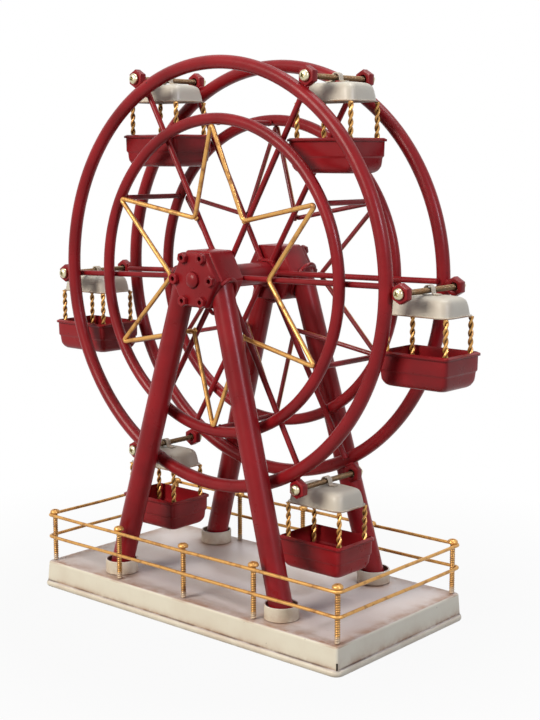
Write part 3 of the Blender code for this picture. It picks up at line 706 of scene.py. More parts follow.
def standing_places():
    """Middle and radius of each post and socket that stands on the tray."""
    post_radius = bpy.context.scene.ferris_gondola.screw / 2
    places = [(foot.x, foot.y, post_radius) for _, foot, _ in post_places()]
    for corner, _, _ in corners:
        low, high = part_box("leg_socket_" + corner)
        places.append(((low.x + high.x) / 2, (low.y + high.y) / 2, (high.x - low.x) / 2))
    return places


def faded(away, reach):
    """Full wear up to a line, then less the further away."""
    return math.exp(-max(away, 0.0) / reach)


def tray_wear(point, places):
    """Brown smudges lie on the tray's top along its edge and round what stands on it, and
    on its wall above the lip."""
    wall_top, wall_foot = deck - 1.2 * MM, 3.6 * MM
    right_wall = tray_high.x - 2.6 * MM
    if point.z < wall_top:
        # the right wall is stained further up than the others
        wall_reach = (2.4 if point.x > right_wall else 1.3) * MM
        return 0.85 * faded(point.z - wall_foot, wall_reach)
    # the very edge is clean, and the wear is full for a band inside it
    overhang, clean, band = 2.3 * MM, 0.6 * MM, 2.5 * MM
    edge_reach, foot_reach = 4.6 * MM, 3.6 * MM
    edge = min(tray_high.x - abs(point.x), tray_high.y - abs(point.y)) - overhang
    worn = 0.80 * faded(edge - band, edge_reach) if edge > clean else 0.0
    for x, y, radius in places:
        away = math.hypot(point.x - x, point.y - y) - radius
        worn = max(worn, 0.85 * faded(away, foot_reach))
    return worn


class FERRIS_OT_tray(bpy.types.Operator):
    """Model the pressed tray and the rolled lip round its foot"""
    bl_idname = "ferris.tray"
    bl_label = "Tray and Rolled Lip"

    def execute(self, context):
        size = context.scene.ferris_stand
        paint = context.scene.ferris_finish
        finish = worn_cream_enamel("worn_cream_enamel", paint.cream, paint.deck_top_painted_shade)
        half_x = tray_high.x - size.lip_proud
        half_y = tray_high.y - size.lip_proud
        bm = bmesh.new()
        bmesh.ops.create_cube(bm, size=2.0)
        below = [face for face in bm.faces if face.normal.z < -0.5]
        for vert in bm.verts:
            lean = size.tray_draft if vert.co.z > 0 else 0.0
            vert.co.x *= half_x - lean
            vert.co.y *= half_y - lean
            vert.co.z = deck if vert.co.z > 0 else size.lip / 2
        bmesh.ops.delete(bm, geom=below, context="FACES_ONLY")
        upright = [edge for edge in bm.edges
                   if abs(edge.verts[0].co.z - edge.verts[1].co.z) > deck / 2]
        rounded(bm, upright, size.tray_corner, 5)
        top = [edge for edge in bm.edges if all(vert.co.z > deck / 2 for vert in edge.verts)]
        rounded(bm, top, size.tray_edge, 4)
        # cut across into small cells, so that wear and dents can follow the sheet
        deck_cell, wall_cell = 3.0 * MM, 0.6 * MM
        for axis, reach, cell in ((0, half_x, deck_cell), (1, half_y, deck_cell),
                                  (2, deck, wall_cell)):
            normal = Vector([float(index == axis) for index in range(3)])
            for step in range(-int(reach / cell), int(reach / cell) + 1):
                bmesh.ops.bisect_plane(
                    bm, geom=bm.verts[:] + bm.edges[:] + bm.faces[:], dist=weld_distance,
                    plane_co=normal * cell * step, plane_no=normal)
        dent, dent_spread = 0.12 * MM, 38 * MM
        for vert in bm.verts:
            if vert.co.z > deck - weld_distance:
                vert.co.z -= dent * (1 + noise.noise(vert.co / dent_spread))
        shell = piece("tray_shell", faced_out(bm), finish, "stand", ["base_tray"],
                      50.0)
        places = standing_places()
        give_wear_and_shade(shell, lambda point: tray_wear(point, places))
        bead = size.lip / 2
        seam = size.lip - size.lip_flat
        # painted shade: a dark line in the crevice where the tray's wall meets the rolled lip
        shade_line_height, shade_line_reach = seam - 0.1 * MM, 0.55 * MM
        give_wear_and_shade(shell, lambda point: max(
            0.0, 1.0 - abs(point.z - shade_line_height) / shade_line_reach), "crevice_shade")
        give_wall(shell, size.sheet)
        # the sheet gapes a little at the foot of the front corner, and the gap is painted shade:
        # a dark rod stands in it
        slit_height, slit_radius, sunk, below_seam = 3.4 * MM, 0.42 * MM, 0.25 * MM, 0.2 * MM
        inset = size.lip_proud + size.tray_corner * (1 - math.sqrt(0.5)) + sunk
        slit = Vector((tray_high.x - inset, inset - tray_high.y, seam - below_seam))
        piece("corner_gap_shade", rod(slit, slit + Vector((0, 0, slit_height)), slit_radius, 12),
              flat_black(), "stand", [])
        spacing = 9 * MM
        route = rectangle_route(tray_high.x - bead, tray_high.y - bead,
                                bead - size.lip_flat, size.lip_bend, spacing)
        lip = trimmed(wire(route, bead, True, 5), Vector(), Vector((0, 0, -1)), True)
        lip_piece = piece("tray_rolled_lip", lip, finish, "stand", [])
        give_wear_and_shade(lip_piece, lambda point: 0.24)
        # painted shade on the lip's top where it tucks in under the wall
        band = 0.25 * MM
        inner_x, inner_y = half_x + band, half_y + band
        give_wear_and_shade(lip_piece, lambda point: 0.9 if point.z > seam * 0.8 and (
            abs(point.x) < inner_x and abs(point.y) < inner_y) else 0.0, "crevice_shade")
        return {"FINISHED"}


def leg_line(sx, sy):
    """Foot and head of a leg's axis, from its CAD solid's sockets and the hub."""
    low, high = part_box("leg_socket_" + ("front" if sy < 0 else "back")
                       + ("_left" if sx < 0 else "_right"))
    foot = (low + high) / 2
    # the front left and back right legs were welded on a little further out
    head_x = (16.5 if sx * sy > 0 else 13.0) * MM
    head_y, head_drop = 30.9 * MM, 10.0 * MM
    head = hub + Vector((sx * head_x, sy * head_y, -head_drop))
    return foot, head


def hub_face(sx, out):
    """Point and normal of the housing's face that a leg meets, moved out by a length."""
    tilt = math.pi / station_count
    normal = Vector((sx * math.cos(tilt), 0.0, -math.sin(tilt)))
    return hub + normal * out, normal


def leg_arch(sx, sy, front):
    """Route of the raised bead that arches round a leg where it meets the housing, from
    the housing's inner end round to its front."""
    size = bpy.context.scene.ferris_stand
    foot, head = leg_line(sx, sy)
    axis = (head - foot).normalized()
    inboard = Vector((0, -sy, 0))
    inboard = (inboard - axis * inboard.dot(axis)).normalized()
    across = axis.cross(inboard)
    reach = size.leg / 2 + fit_gap + arch_radius
    lift = 0.35 * MM
    face, normal = hub_face(sx, size.housing / 2 + lift)
    route = []
    steps = 64
    for step in range(-steps // 2, steps // 2 + 1):
        angle = math.tau * step / steps
        point = head + (inboard * math.cos(angle) + across * math.sin(angle)) * reach
        point += axis * ((face - point).dot(normal) / axis.dot(normal))
        if abs(point.y) < front - arch_radius * 0.4:
            route.append(point)
    return route


class FERRIS_OT_legs(bpy.types.Operator):
    """Model the four leg sockets with their welds, and the leg tubes"""
    bl_idname = "ferris.legs"
    bl_label = "Sockets and Legs"

    def execute(self, context):
        size = context.scene.ferris_stand
        paint = context.scene.ferris_finish
        cream = worn_cream_enamel("worn_cream_enamel", paint.cream, paint.deck_top_painted_shade)
        red = sprayed_red_enamel()
        for index, (corner, sx, sy) in enumerate(corners):
            low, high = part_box("leg_socket_" + corner)
            radius = size.socket / 2
            inner = radius - size.socket_wall
            top = high.z - low.z
            floor = 1.0 * MM
            rim_drop, rim_inset = 0.3 * MM, 0.25 * MM
            profile = [(0, 0), (radius, 0), (radius, top - rim_drop),
                       (radius - rim_inset, top), (inner + rim_inset, top),
                       (inner, top - rim_drop), (inner, floor), (0, floor)]
            bm = bmesh.new()
            absorb(bm, lathed(profile, 48))
            bead = []
            bead_radius, bead_inset, bead_sway, bead_steps = 0.35 * MM, 0.25 * MM, 0.2 * MM, 48
            for step in range(bead_steps):
                angle = math.tau * step / bead_steps
                lump = noise.noise(Vector((math.cos(angle) * 3, math.sin(angle) * 3, index)))
                reach = radius - bead_inset + bead_sway * lump
                bead.append(Vector((reach * math.cos(angle), reach * math.sin(angle),
                                    bead_radius)))
            absorb(bm, wire(bead, bead_radius, True))
            middle = Vector(((low.x + high.x) / 2, (low.y + high.y) / 2, low.z))
            bmesh.ops.translate(bm, vec=middle, verts=bm.verts)
            socket = piece("socket_cup_" + corner, bm, cream, "stand",
                           ["leg_socket_" + corner])
            inside, stain_top = inner + 0.1 * MM, low.z + 1.6 * MM
            give_wear_and_shade(socket, lambda point: 0.55 if point.z < stain_top else 0.22)
            # painted shade inside the cup, round the leg
            give_wear_and_shade(socket, lambda point: 0.8 if math.hypot(
                point.x - middle.x, point.y - middle.y) < inside else 0.0, "crevice_shade")
            foot, head = leg_line(sx, sy)
            axis = (head - foot).normalized()
            dip = size.leg / 2 * math.sqrt(1 - axis.z ** 2)
            start = foot + axis * ((low.z + floor + fit_gap + dip - foot.z) / axis.z)
            end_rounding = 0.3 * MM
            tube = rod(start, head + axis * size.leg, size.leg / 2, 40, end_rounding)
            point, normal = hub_face(sx, size.housing / 2 + fit_gap)
            trimmed(tube, point, -normal)
            piece("leg_tube_" + corner, tube, red, "stand", ["leg_" + corner])
        return {"FINISHED"}


class FERRIS_OT_hub(bpy.types.Operator):
    """Model the two hexagonal bearing housings, their covers and nuts, and the bushes"""
    bl_idname = "ferris.hub"
    bl_label = "Bearing Housings and Covers"

    def execute(self, context):
        size = context.scene.ferris_stand
        wheel = context.scene.ferris_wheel
        red = sprayed_red_enamel()
        chipped = sprayed_red_enamel(0.75)
        bore_shade_finish = flat_black()
        # a flat of each hexagon lies on top, so its corners point left and right
        flat_on_top = Matrix.Rotation(math.pi / 6, 4, "Z")
        housing_edge, cover_edge, bore_gap, past = 1.2 * MM, 1.3 * MM, 3.0 * MM, 5 * MM
        nut_hole, chamfer, nut_sunk = 2.4 * MM, 0.35 * MM, 0.15 * MM
        dark_radius, dark_lift, nut_extra = 1.25 * MM, 0.25 * MM, 0.1 * MM
        for depth, sy in sides:
            near, far = depths("bearing_housing_" + depth)
            outward = Vector((0, sy, 0))
            bm = bmesh.new()
            facing = pointing(outward, hub + outward * near)
            absorb(bm, hex_block(size.housing, far - near, housing_edge),
                   facing @ flat_on_top)
            bore = wheel.axle / 2 + bore_gap
            tool = rod(hub + outward * (near - past), hub + outward * (far + past), bore, 32)
            bm = cut_out(bm, tool)
            for sx in (-1, 1):
                absorb(bm, wire(leg_arch(sx, sy, far), arch_radius))
            piece("hub_housing_" + depth, bm, red, "stand", ["bearing_housing_" + depth])
            seat, nut_top = depths("housing_cover_" + depth)
            bm = bmesh.new()
            absorb(bm, hex_block(size.cover, size.cover_thickness, cover_edge, False),
                   flat_on_top)
            plate_hole = rod(Vector((0, 0, -past)), Vector((0, 0, size.cover_thickness + past)),
                             wheel.axle / 2 + fit_gap, 32)
            bm = cut_out(bm, plate_hole)
            nut_height = nut_top - seat - size.cover_thickness
            bore_shades = bmesh.new()
            for index in range(station_count):
                angle = index * math.tau / station_count
                place = Vector((size.nut_circle * math.cos(angle),
                                size.nut_circle * math.sin(angle),
                                size.cover_thickness - nut_sunk))
                turn = Matrix.Rotation(angle + 0.21 * math.sin(index * 2.4), 4, "Z")
                absorb(bm, hex_nut(size.nut, nut_height + nut_extra, nut_hole, chamfer),
                       Matrix.Translation(place) @ turn)
                # painted shade: a dark disc down inside each nut's hole
                absorb(bore_shades, lathed([(0, dark_lift), (dark_radius, dark_lift)], 16),
                       Matrix.Translation(place))
            for part in (bm, bore_shades):
                bmesh.ops.transform(part, matrix=pointing(outward, hub + outward * seat),
                                    verts=part.verts)
            piece("hub_nut_bore_shade_" + depth, bore_shades, bore_shade_finish, "stand", [])
            piece("hub_cover_" + depth, bm, chipped, "stand", ["housing_cover_" + depth])
        brass = plated_steel("turned_brass", context.scene.ferris_finish.brass, 0.3, 6.0)
        for depth, _ in sides:
            node = frame["nodes"]["shaft_bush_" + depth]
            node.material_slots[0].material = brass
        return {"FINISHED"}


class FERRIS_OT_rail(bpy.types.Operator):
    """Model the ten threaded rail posts and the two rail wires"""
    bl_idname = "ferris.rail"
    bl_label = "Rail"

    def execute(self, context):
        size = context.scene.ferris_stand
        gondola = context.scene.ferris_gondola
        overspray, overlap = 3.4 * MM, 0.1 * MM
        posts = worn_gold_paint("gold_paint_on_posts", deck + overspray)
        gold = worn_gold_paint()
        head = pan_head(head_width, head_height)
        for index, (node, foot, top) in enumerate(post_places()):
            bm = head.copy()
            bmesh.ops.rotate(bm, verts=bm.verts, cent=(0, 0, 0),
                             matrix=Matrix.Rotation(0.7 + index * 1.9, 3, "Z"))
            bmesh.ops.translate(bm, vec=(0, 0, top - foot.z), verts=bm.verts)
            shank = top - foot.z - head_height + overlap
            absorb(bm, threaded(gondola.screw / 2, shank, size.pitch, thread_depth))
            bmesh.ops.translate(bm, vec=foot, verts=bm.verts)
            post = piece(node.replace("rail_post", "post_screw"), bm, posts, "stand", [node],
                         60.0)
            # painted shade: the thread's grooves are darkened by their depth
            give_wear_and_shade(post, lambda point: groove_share(
                math.hypot(point.x - foot.x, point.y - foot.y), gondola.screw / 2)
                if point.z < top - head_height else 0.0)
        head.free()
        bend, spacing, sway, sway_spread = 2.7 * MM, 5 * MM, 0.25 * MM, 31 * MM
        for node, name in (("upper_rail", "rail_wire_upper"), ("lower_rail", "rail_wire_lower")):
            low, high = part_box(node)
            radius = size.rail / 2
            middle = (low.z + high.z) / 2
            route = rectangle_route(high.x - radius, high.y - radius, middle, bend, spacing)
            for point in route:
                wave = noise.noise(point / sway_spread + Vector((0, 0, middle * 900)))
                point.z += sway * wave
            piece(name, wire(route, radius, True, 4), gold, "stand", [node])
        return {"FINISHED"}


# Wheel

def hoop(radius, tube, y, wobble):
    """A ring of bent tube round the shaft, with a slight hand-made wobble."""
    points = []
    steps, resolution = 192, 6
    for step in range(steps):
        angle = math.tau * step / steps
        sway = noise.noise(Vector((math.cos(angle) * 2, math.sin(angle) * 2, y * 90)))
        points.append(on_wheel(radius, angle, y + wobble * sway))
    return wire(points, tube / 2, True, resolution)


class FERRIS_OT_outer_rings(bpy.types.Operator):
    """Model the two outer rings with their welded pivot eyes"""
    bl_idname = "ferris.outer_rings"
    bl_label = "Outer Rings and Eyes"

    def execute(self, context):
        size = context.scene.ferris_wheel
        red = sprayed_red_enamel(0.76)
        eye_thickness, eye_y, eye_chamfer = 4.2 * MM, 22.6 * MM, 0.5 * MM
        wobble, sunk, weld_step = 0.15 * MM, 0.2 * MM, 1.6 * MM
        # the sleeve over the joint in each ring, as (stand-out, distance along the tube)
        sleeve = ((-0.1, -1.6), (0.22, -0.5), (0.22, 0.5), (-0.1, 1.6))
        joint_angles = {"front": math.radians(-112), "back": math.radians(-96)}
        for depth, sy in sides:
            plane = sy * (depths("outer_ring_" + depth)[1] - size.outer_tube / 2)
            bm = hoop(size.outer_radius, size.outer_tube, plane, wobble)
            outward = Vector((0, sy, 0))
            for number, pivot in pivots.items():
                away = pivot - hub
                angle = math.atan2(away.z, away.x)
                eye = hex_nut(size.eye, eye_thickness, size.eye_hole, eye_chamfer)
                start = Vector((pivot.x, sy * (eye_y - eye_thickness / 2), pivot.z))
                basis = pointing(outward, start)
                inverse = basis.to_3x3().inverted() @ away
                flat = math.atan2(inverse.y, inverse.x)
                absorb(bm, eye, basis @ Matrix.Rotation(flat, 4, "Z"))
                # weld metal bridges the eye and the tube, a little to each side
                reach = size.outer_radius + size.outer_tube / 2 - sunk
                for offset in (-1, 0, 1):
                    turn = angle + offset * weld_step / size.outer_radius
                    seat = on_wheel(reach, turn, sy * (eye_y - sunk))
                    weld(bm, seat, away, (1.5 if offset else 1.8) * MM,
                         number + offset * 0.3)
            angle = joint_angles[depth]
            profile = [(size.outer_tube / 2 + proud * MM, place * MM) for proud, place in sleeve]
            along = Vector((-math.sin(angle), 0, math.cos(angle)))
            absorb(bm, lathed(profile, 28),
                   pointing(along, on_wheel(size.outer_radius, angle, plane)))
            piece("outer_hoop_" + depth, bm, red, "wheel", ["outer_ring_" + depth])
        return {"FINISHED"}


class FERRIS_OT_inner_rings(bpy.types.Operator):
    """Model the two inner rings and the six spacer rods between them"""
    bl_idname = "ferris.inner_rings"
    bl_label = "Inner Rings and Spacers"

    def execute(self, context):
        size = context.scene.ferris_wheel
        red = sprayed_red_enamel(0.76)
        planes = {}
        wobble, inset, sunk = 0.12 * MM, 1.6 * MM, 0.4 * MM
        for depth, sy in sides:
            near, far = depths("inner_ring_" + depth)
            planes[depth] = (near + size.inner_tube / 2 if depth == "back"
                             else far - size.inner_tube / 2)
            bm = hoop(size.inner_radius, size.inner_tube, sy * planes[depth], wobble)
            piece("inner_hoop_" + depth, bm, red, "wheel", ["inner_ring_" + depth])
        bm = bmesh.new()
        reach = size.inner_radius - inset
        for index in range(station_count):
            angle = (index + 0.5) * math.tau / station_count
            front = on_wheel(reach, angle, -planes["front"] + size.inner_tube / 2 - sunk)
            back = on_wheel(reach, angle, planes["back"] - size.inner_tube / 2 - fit_gap)
            absorb(bm, rod(front, back, size.spacer / 2, 20))
            for end, step in ((front, 0.3), (back, -0.5)):
                seat = end + Vector((0, step * MM, 0))
                weld(bm, seat, to_back, 1.75 * MM, index + step, 0.45)
        piece("spacer_rods", bm, red, "wheel", [])
        return {"FINISHED"}


class FERRIS_OT_spokes(bpy.types.Operator):
    """Model the spokes with their welds, the weld collars and the shaft"""
    bl_idname = "ferris.spokes"
    bl_label = "Spokes and Shaft"

    def execute(self, context):
        size = context.scene.ferris_wheel
        red = sprayed_red_enamel(0.76)
        radius = size.spoke / 2
        root_gap, root_weld, root_weld_out, edge = 0.4 * MM, 2.1 * MM, 1.0 * MM, 0.3 * MM
        for depth, sy in sides:
            near, far = depths("spokes_" + depth)
            root_y, tip_y = near + radius, far - radius
            collar = size.shaft / 2 + fit_gap
            ring = [(collar + proud * MM, place * MM) for proud, place in (
                (0, -1.5), (0.8, -1.5), (1.3, -0.8), (1.3, 0.8), (0.8, 1.5), (0, 1.5), (0, -1.5))]
            bm = bmesh.new()
            absorb(bm, lathed(ring, 40), pointing(to_back, hub + to_back * sy * root_y))
            for index, angle in enumerate(spoke_angles()):
                start = on_wheel(collar + root_gap, angle, sy * root_y)
                end = on_wheel(size.outer_radius, angle, sy * tip_y)
                absorb(bm, rod(start, end, radius, 24, edge))
                run = (end - start).normalized()
                weld(bm, start + run * root_weld_out, run, root_weld, index, 0.6)
                share = (size.inner_radius - collar) / (size.outer_radius - collar)
                for place, lift, blob in ((share, 1.35, 1.25), (0.985, 1.4, 1.5)):
                    seat = start.lerp(end, place) + Vector((0, sy * lift * MM, 0))
                    weld(bm, seat, to_back, blob * MM, index + place, 0.5)
            piece("spoke_set_" + depth, bm, red, "wheel", ["spokes_" + depth])
        axle, shaft = size.axle / 2, size.shaft / 2
        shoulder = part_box("bearing_housing_back")[0].y - fit_gap
        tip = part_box("main_shaft")[1].y
        half = [(0, tip), (axle * 0.45, tip - 0.12 * MM), (axle * 0.78, tip - 0.55 * MM),
                (axle, tip - 1.5 * MM), (axle, shoulder), (shaft - edge, shoulder),
                (shaft, shoulder - edge)]
        profile = half + [(reach, -height) for reach, height in reversed(half)]
        bm = lathed(profile, 40)
        bmesh.ops.transform(bm, matrix=pointing(to_back, hub), verts=bm.verts)
        piece("shaft_tube", bm, red, "wheel", ["main_shaft"])
        return {"FINISHED"}


class FERRIS_OT_stars(bpy.types.Operator):
    """Model the two six-pointed stars of bent wire"""
    bl_idname = "ferris.stars"
    bl_label = "Wire Stars"

    def execute(self, context):
        size = context.scene.ferris_wheel
        gold = worn_gold_paint()
        radius = size.star / 2
        seat = math.radians(38.0)
        tip_extra, tip_bend, waist_bend, spacing = 1.3 * MM, 0.9 * MM, 3.0 * MM, 6 * MM
        tip_reach = (size.inner_radius - (size.inner_tube / 2 + radius) * math.cos(seat)
                     + tip_extra)
        for depth, sy in sides:
            near, far = depths("star_" + depth)
            turns = []
            for index, angle in enumerate(spoke_angles()):
                tip = (index + 0.5) * math.tau / station_count
                turns.append(on_wheel(size.star_radius, angle, sy * (near + radius)))
                turns.append(on_wheel(tip_reach, tip, sy * (far - radius)))
            bends = [waist_bend, tip_bend] * station_count
            route = bent_route(turns, bends, 8)
            bm = wire(filled_in(route, spacing), radius, True, 4)
            for index, angle in enumerate(spoke_angles()):
                place = on_wheel(size.star_radius, angle, sy * (near + radius * 0.4))
                weld(bm, place, to_back, 1.5 * MM, index, 0.6)
            star = piece("star_wire_" + depth, bm, gold, "wheel", ["star_" + depth])
            # the side turned to the middle of the wheel has the wheel's red overspray
            overspray = star.data.attributes.new("overspray", "FLOAT", "POINT")
            for value, vert in zip(overspray.data, star.data.vertices):
                value.value = min(max(0.5 - sy * vert.normal.y * 2.0, 0.0), 1.0)
        return {"FINISHED"}


# Gondolas

def set_out(name, template, finish_material, node, sharp=35.0, wear_and_groove_shade=None, wall=0.0):
    """Put a copy of a gondola's piece at each pivot, and use the template up."""
    for number, pivot in pivots.items():
        bm = template.copy()
        bmesh.ops.translate(bm, vec=pivot, verts=bm.verts)
        label = "gondola_%d" % number
        obj = piece(name + "_%d" % number, bm, finish_material, label,
                    [label + "_" + node] if node else [], sharp)
        if wear_and_groove_shade is not None:
            give_wear_and_shade(obj, lambda point: wear_and_groove_shade(point - pivot))
        if wall:
            give_wall(obj, wall)
    template.free()


class FERRIS_OT_pivots(bpy.types.Operator):
    """Model the six long pivot screws with their heads and end nuts"""
    bl_idname = "ferris.pivots"
    bl_label = "Pivot Screws"

    def execute(self, context):
        size = context.scene.ferris_gondola
        stand = context.scene.ferris_stand
        paint = context.scene.ferris_finish
        zinc = plated_steel("yellow_zinc_plate", paint.zinc, 0.24, 2.2)
        dull = plated_steel("dull_plated_rod", paint.rod, 0.38, 4.0)
        low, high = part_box("gondola_1_pivot_screw")
        nut_width, nut_height, nut_hole, chamfer = 5.5 * MM, 2.4 * MM, 2.9 * MM, 0.35 * MM
        head = bmesh.new()
        absorb(head, pan_head(head_width, head_height),
               pointing(to_front, Vector((0, low.y, 0)), 0.5))
        absorb(head, hex_nut(nut_width, nut_height, nut_hole, chamfer),
               pointing(to_back, Vector((0, high.y - nut_height, 0)), 0.3))
        set_out("pivot_head_and_nut", head, zinc, None)
        run = high.y - low.y - head_height
        shank = threaded(size.screw / 2, run, stand.pitch, thread_depth)
        bmesh.ops.transform(
            shank, verts=shank.verts,
            matrix=pointing(to_back, Vector((0, low.y + head_height, 0))))
        # painted shade: the rod's thread grooves are darkened by their depth
        set_out("pivot_threaded_rod", shank, dull, "pivot_screw", 60.0,
                lambda point: groove_share(math.hypot(point.x, point.z), size.screw / 2))
        return {"FINISHED"}


class FERRIS_OT_canopies(bpy.types.Operator):
    """Model the six pressed canopies with the straps over their pivot screws"""
    bl_idname = "ferris.canopies"
    bl_label = "Canopies"

    def execute(self, context):
        size = context.scene.ferris_gondola
        paint = context.scene.ferris_finish
        finish = worn_cream_enamel("canopy_cream_enamel", paint.canopy, paint.canopy)
        half_x, half_y = size.roof_length / 2, size.roof_width / 2
        rim, top = -size.roof_drop, -size.roof_drop + size.roof_height
        # the flange, then the upright wall, then the rounded top, as shares of the height
        flange, draft, sheet = 0.85 * MM, 2.4 * MM, 0.55 * MM
        flange_corner, wall_corner = 5.0 * MM, 4.4 * MM
        sections = [(half_x + flange, half_y + flange, flange_corner, rim - sheet),
                    (half_x + flange, half_y + flange, flange_corner, rim)]
        for share, inset_share in ((0.02, 0.0), (0.25, 0.12), (0.50, 0.28), (0.70, 0.46)):
            inset = draft * inset_share
            sections.append((half_x - inset, half_y - inset, wall_corner,
                             rim + size.roof_height * share))
        for share, inset_mm, corner_mm in ((0.80, 1.6, 4.2), (0.885, 2.4, 4.0),
                                           (0.945, 3.6, 3.4), (0.98, 5.2, 2.8),
                                           (1.0, 8.4, 1.6)):
            sections.append((half_x - inset_mm * MM, half_y - inset_mm * MM,
                             corner_mm * MM, rim + size.roof_height * share))
        shell = faced_out(lofted(sections))
        dent, dent_spread = 0.18 * MM, 9 * MM
        for vert in shell.verts:
            if vert.co.z > rim + size.roof_height * 0.5:
                vert.co.z += dent * (noise.noise(vert.co / dent_spread) - 0.4)

        def wear_and_groove_shade(point):
            return 0.8 if point.z < rim + 0.1 * MM else 0.06

        set_out("canopy_shell", shell, finish, "roof", 55.0, wear_and_groove_shade, sheet)
        # the strap rises from the canopy, passes over the screw and comes down again
        strap_bend = 0.3 * MM
        clear = size.screw / 2 + fit_gap + strap_bend
        route = [Vector((-6.2 * MM, 0, top + 0.15 * MM)),
                 Vector((-clear - 1.2 * MM, 0, top + 0.2 * MM)),
                 Vector((-clear - 0.2 * MM, 0, top + 0.7 * MM))]
        for step in range(13):
            angle = math.pi * (1 - step / 12)
            route.append(Vector((clear * math.cos(angle), 0, clear * math.sin(angle))))
        route += [Vector((-point.x, 0, point.z)) for point in reversed(route[:3])]
        bm = bmesh.new()
        line = [bm.verts.new(point + Vector((0, -size.strap / 2, 0))) for point in route]
        edges = [bm.edges.new(pair) for pair in zip(line, line[1:])]
        drawn = bmesh.ops.extrude_edge_only(bm, edges=edges)["geom"]
        moved = [item for item in drawn if isinstance(item, bmesh.types.BMVert)]
        bmesh.ops.translate(bm, vec=(0, size.strap, 0), verts=moved)
        bmesh.ops.recalc_face_normals(bm, faces=bm.faces)
        bmesh.ops.solidify(bm, geom=bm.faces[:], thickness=sheet)
        tidied(bm)
        set_out("canopy_strap", bm, finish, None, 40.0,
                lambda point: 0.25)
        return {"FINISHED"}


def twisted_pair(start, end, strand, pitch, phase):
    """Two strands twisted round each other from one point down to another."""
    bm = bmesh.new()
    run = end - start
    count = int(run.length / pitch * 14)
    lay = pointing(run, start)
    for turn in (0.0, math.pi):
        points = []
        for step in range(count + 1):
            along = run.length * step / count
            angle = phase + turn + math.tau * along / pitch
            spread = strand / 2 * 0.98
            points.append(lay @ Vector((spread * math.cos(angle), spread * math.sin(angle),
                                        along)))
        absorb(bm, wire(points, strand / 2, False, 2))
    return bm


class FERRIS_OT_hangers(bpy.types.Operator):
    """Model the four twisted hanger wires of each gondola"""
    bl_idname = "ferris.hangers"
    bl_label = "Twisted Hangers"

    def execute(self, context):
        size = context.scene.ferris_gondola
        gold = worn_gold_paint()
        low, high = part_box("gondola_1_hanger")
        pivot = pivots[1]
        reach = size.strand
        overlap, blob, blob_drop = 0.2 * MM, 1.3 * MM, 0.3 * MM
        half_x = (high.x - low.x) / 2 - reach
        half_y = (high.y - low.y) / 2 - reach
        top, foot = high.z - pivot.z, low.z - pivot.z
        bm = bmesh.new()
        for index, (sx, sy) in enumerate(around):
            start = Vector((sx * half_x, sy * half_y, top + overlap))
            end = Vector((sx * half_x, sy * half_y, foot))
            absorb(bm, twisted_pair(start, end, size.strand, size.twist, index * 1.3))
            absorb(bm, weld_blob(blob, index, 0.5),
                   Matrix.Translation(start - Vector((0, 0, blob_drop))))

        # painted shade: the strands are darkened where they face each other in the twist
        def wear_and_groove_shade(point):
            away = math.hypot(abs(point.x) - half_x, abs(point.y) - half_y)
            return min(max(1.35 - 1.6 * away / size.strand, 0.0), 0.9)

        set_out("hanger_wires", bm, gold, "hanger", wear_and_groove_shade=wear_and_groove_shade)
        return {"FINISHED"}


class FERRIS_OT_buckets(bpy.types.Operator):
    """Model the six pressed buckets"""
    bl_idname = "ferris.buckets"
    bl_label = "Buckets"

    def execute(self, context):
        size = context.scene.ferris_gondola
        red = sprayed_red_enamel(0.76)
        half_x, half_y = size.bucket_length / 2, size.bucket_width / 2
        floor = -size.bucket_drop
        height = size.bucket_height
        rim = floor + height
        # the rolled rim, as (stand-out, corner, drop from the rim) in millimetres
        sections = [(half_x + proud * MM, half_y + proud * MM, corner * MM, rim - drop * MM)
                    for proud, corner, drop in ((0.22, 2.0, 0.7), (0.22, 2.0, 0.1),
                                                (0, 1.9, 0), (-0.08, 1.9, 0.5))]
        # an upper band stands out, steps in at mid height, and the foot is drawn to a taper
        for share, inset_mm, corner_mm in (
                (0.82, 0.06, 2.1), (0.53, 0.14, 2.1), (0.50, 0.28, 2.1), (0.47, 0.66, 2.1),
                (0.44, 0.76, 2.1), (0.32, 0.92, 2.1), (0.21, 1.15, 2.1), (0.13, 1.6, 2.6),
                (0.065, 2.3, 2.6), (0.02, 3.3, 2.6), (0.0, 4.6, 2.6)):
            sections.append((half_x - inset_mm * MM, half_y - inset_mm * MM, corner_mm * MM,
                             floor + height * share))
        sheet = 0.7 * MM
        set_out("bucket_shell", faced_out(lofted(sections)), red, "bucket",
                50.0, wall=sheet)
        return {"FINISHED"}


# Stage

def seen_share(tree):
    """One where the camera, a reflection or glass looks, and zero for other light."""
    rays = add_node(tree, "ShaderNodeLightPath").outputs
    seen = rays["Is Camera Ray"]
    for ray in ("Is Glossy Ray", "Is Transmission Ray"):
        seen = add_node(tree, "ShaderNodeMath", {0: seen, 1: rays[ray]},
                        operation="MAXIMUM").outputs[0]
    return seen


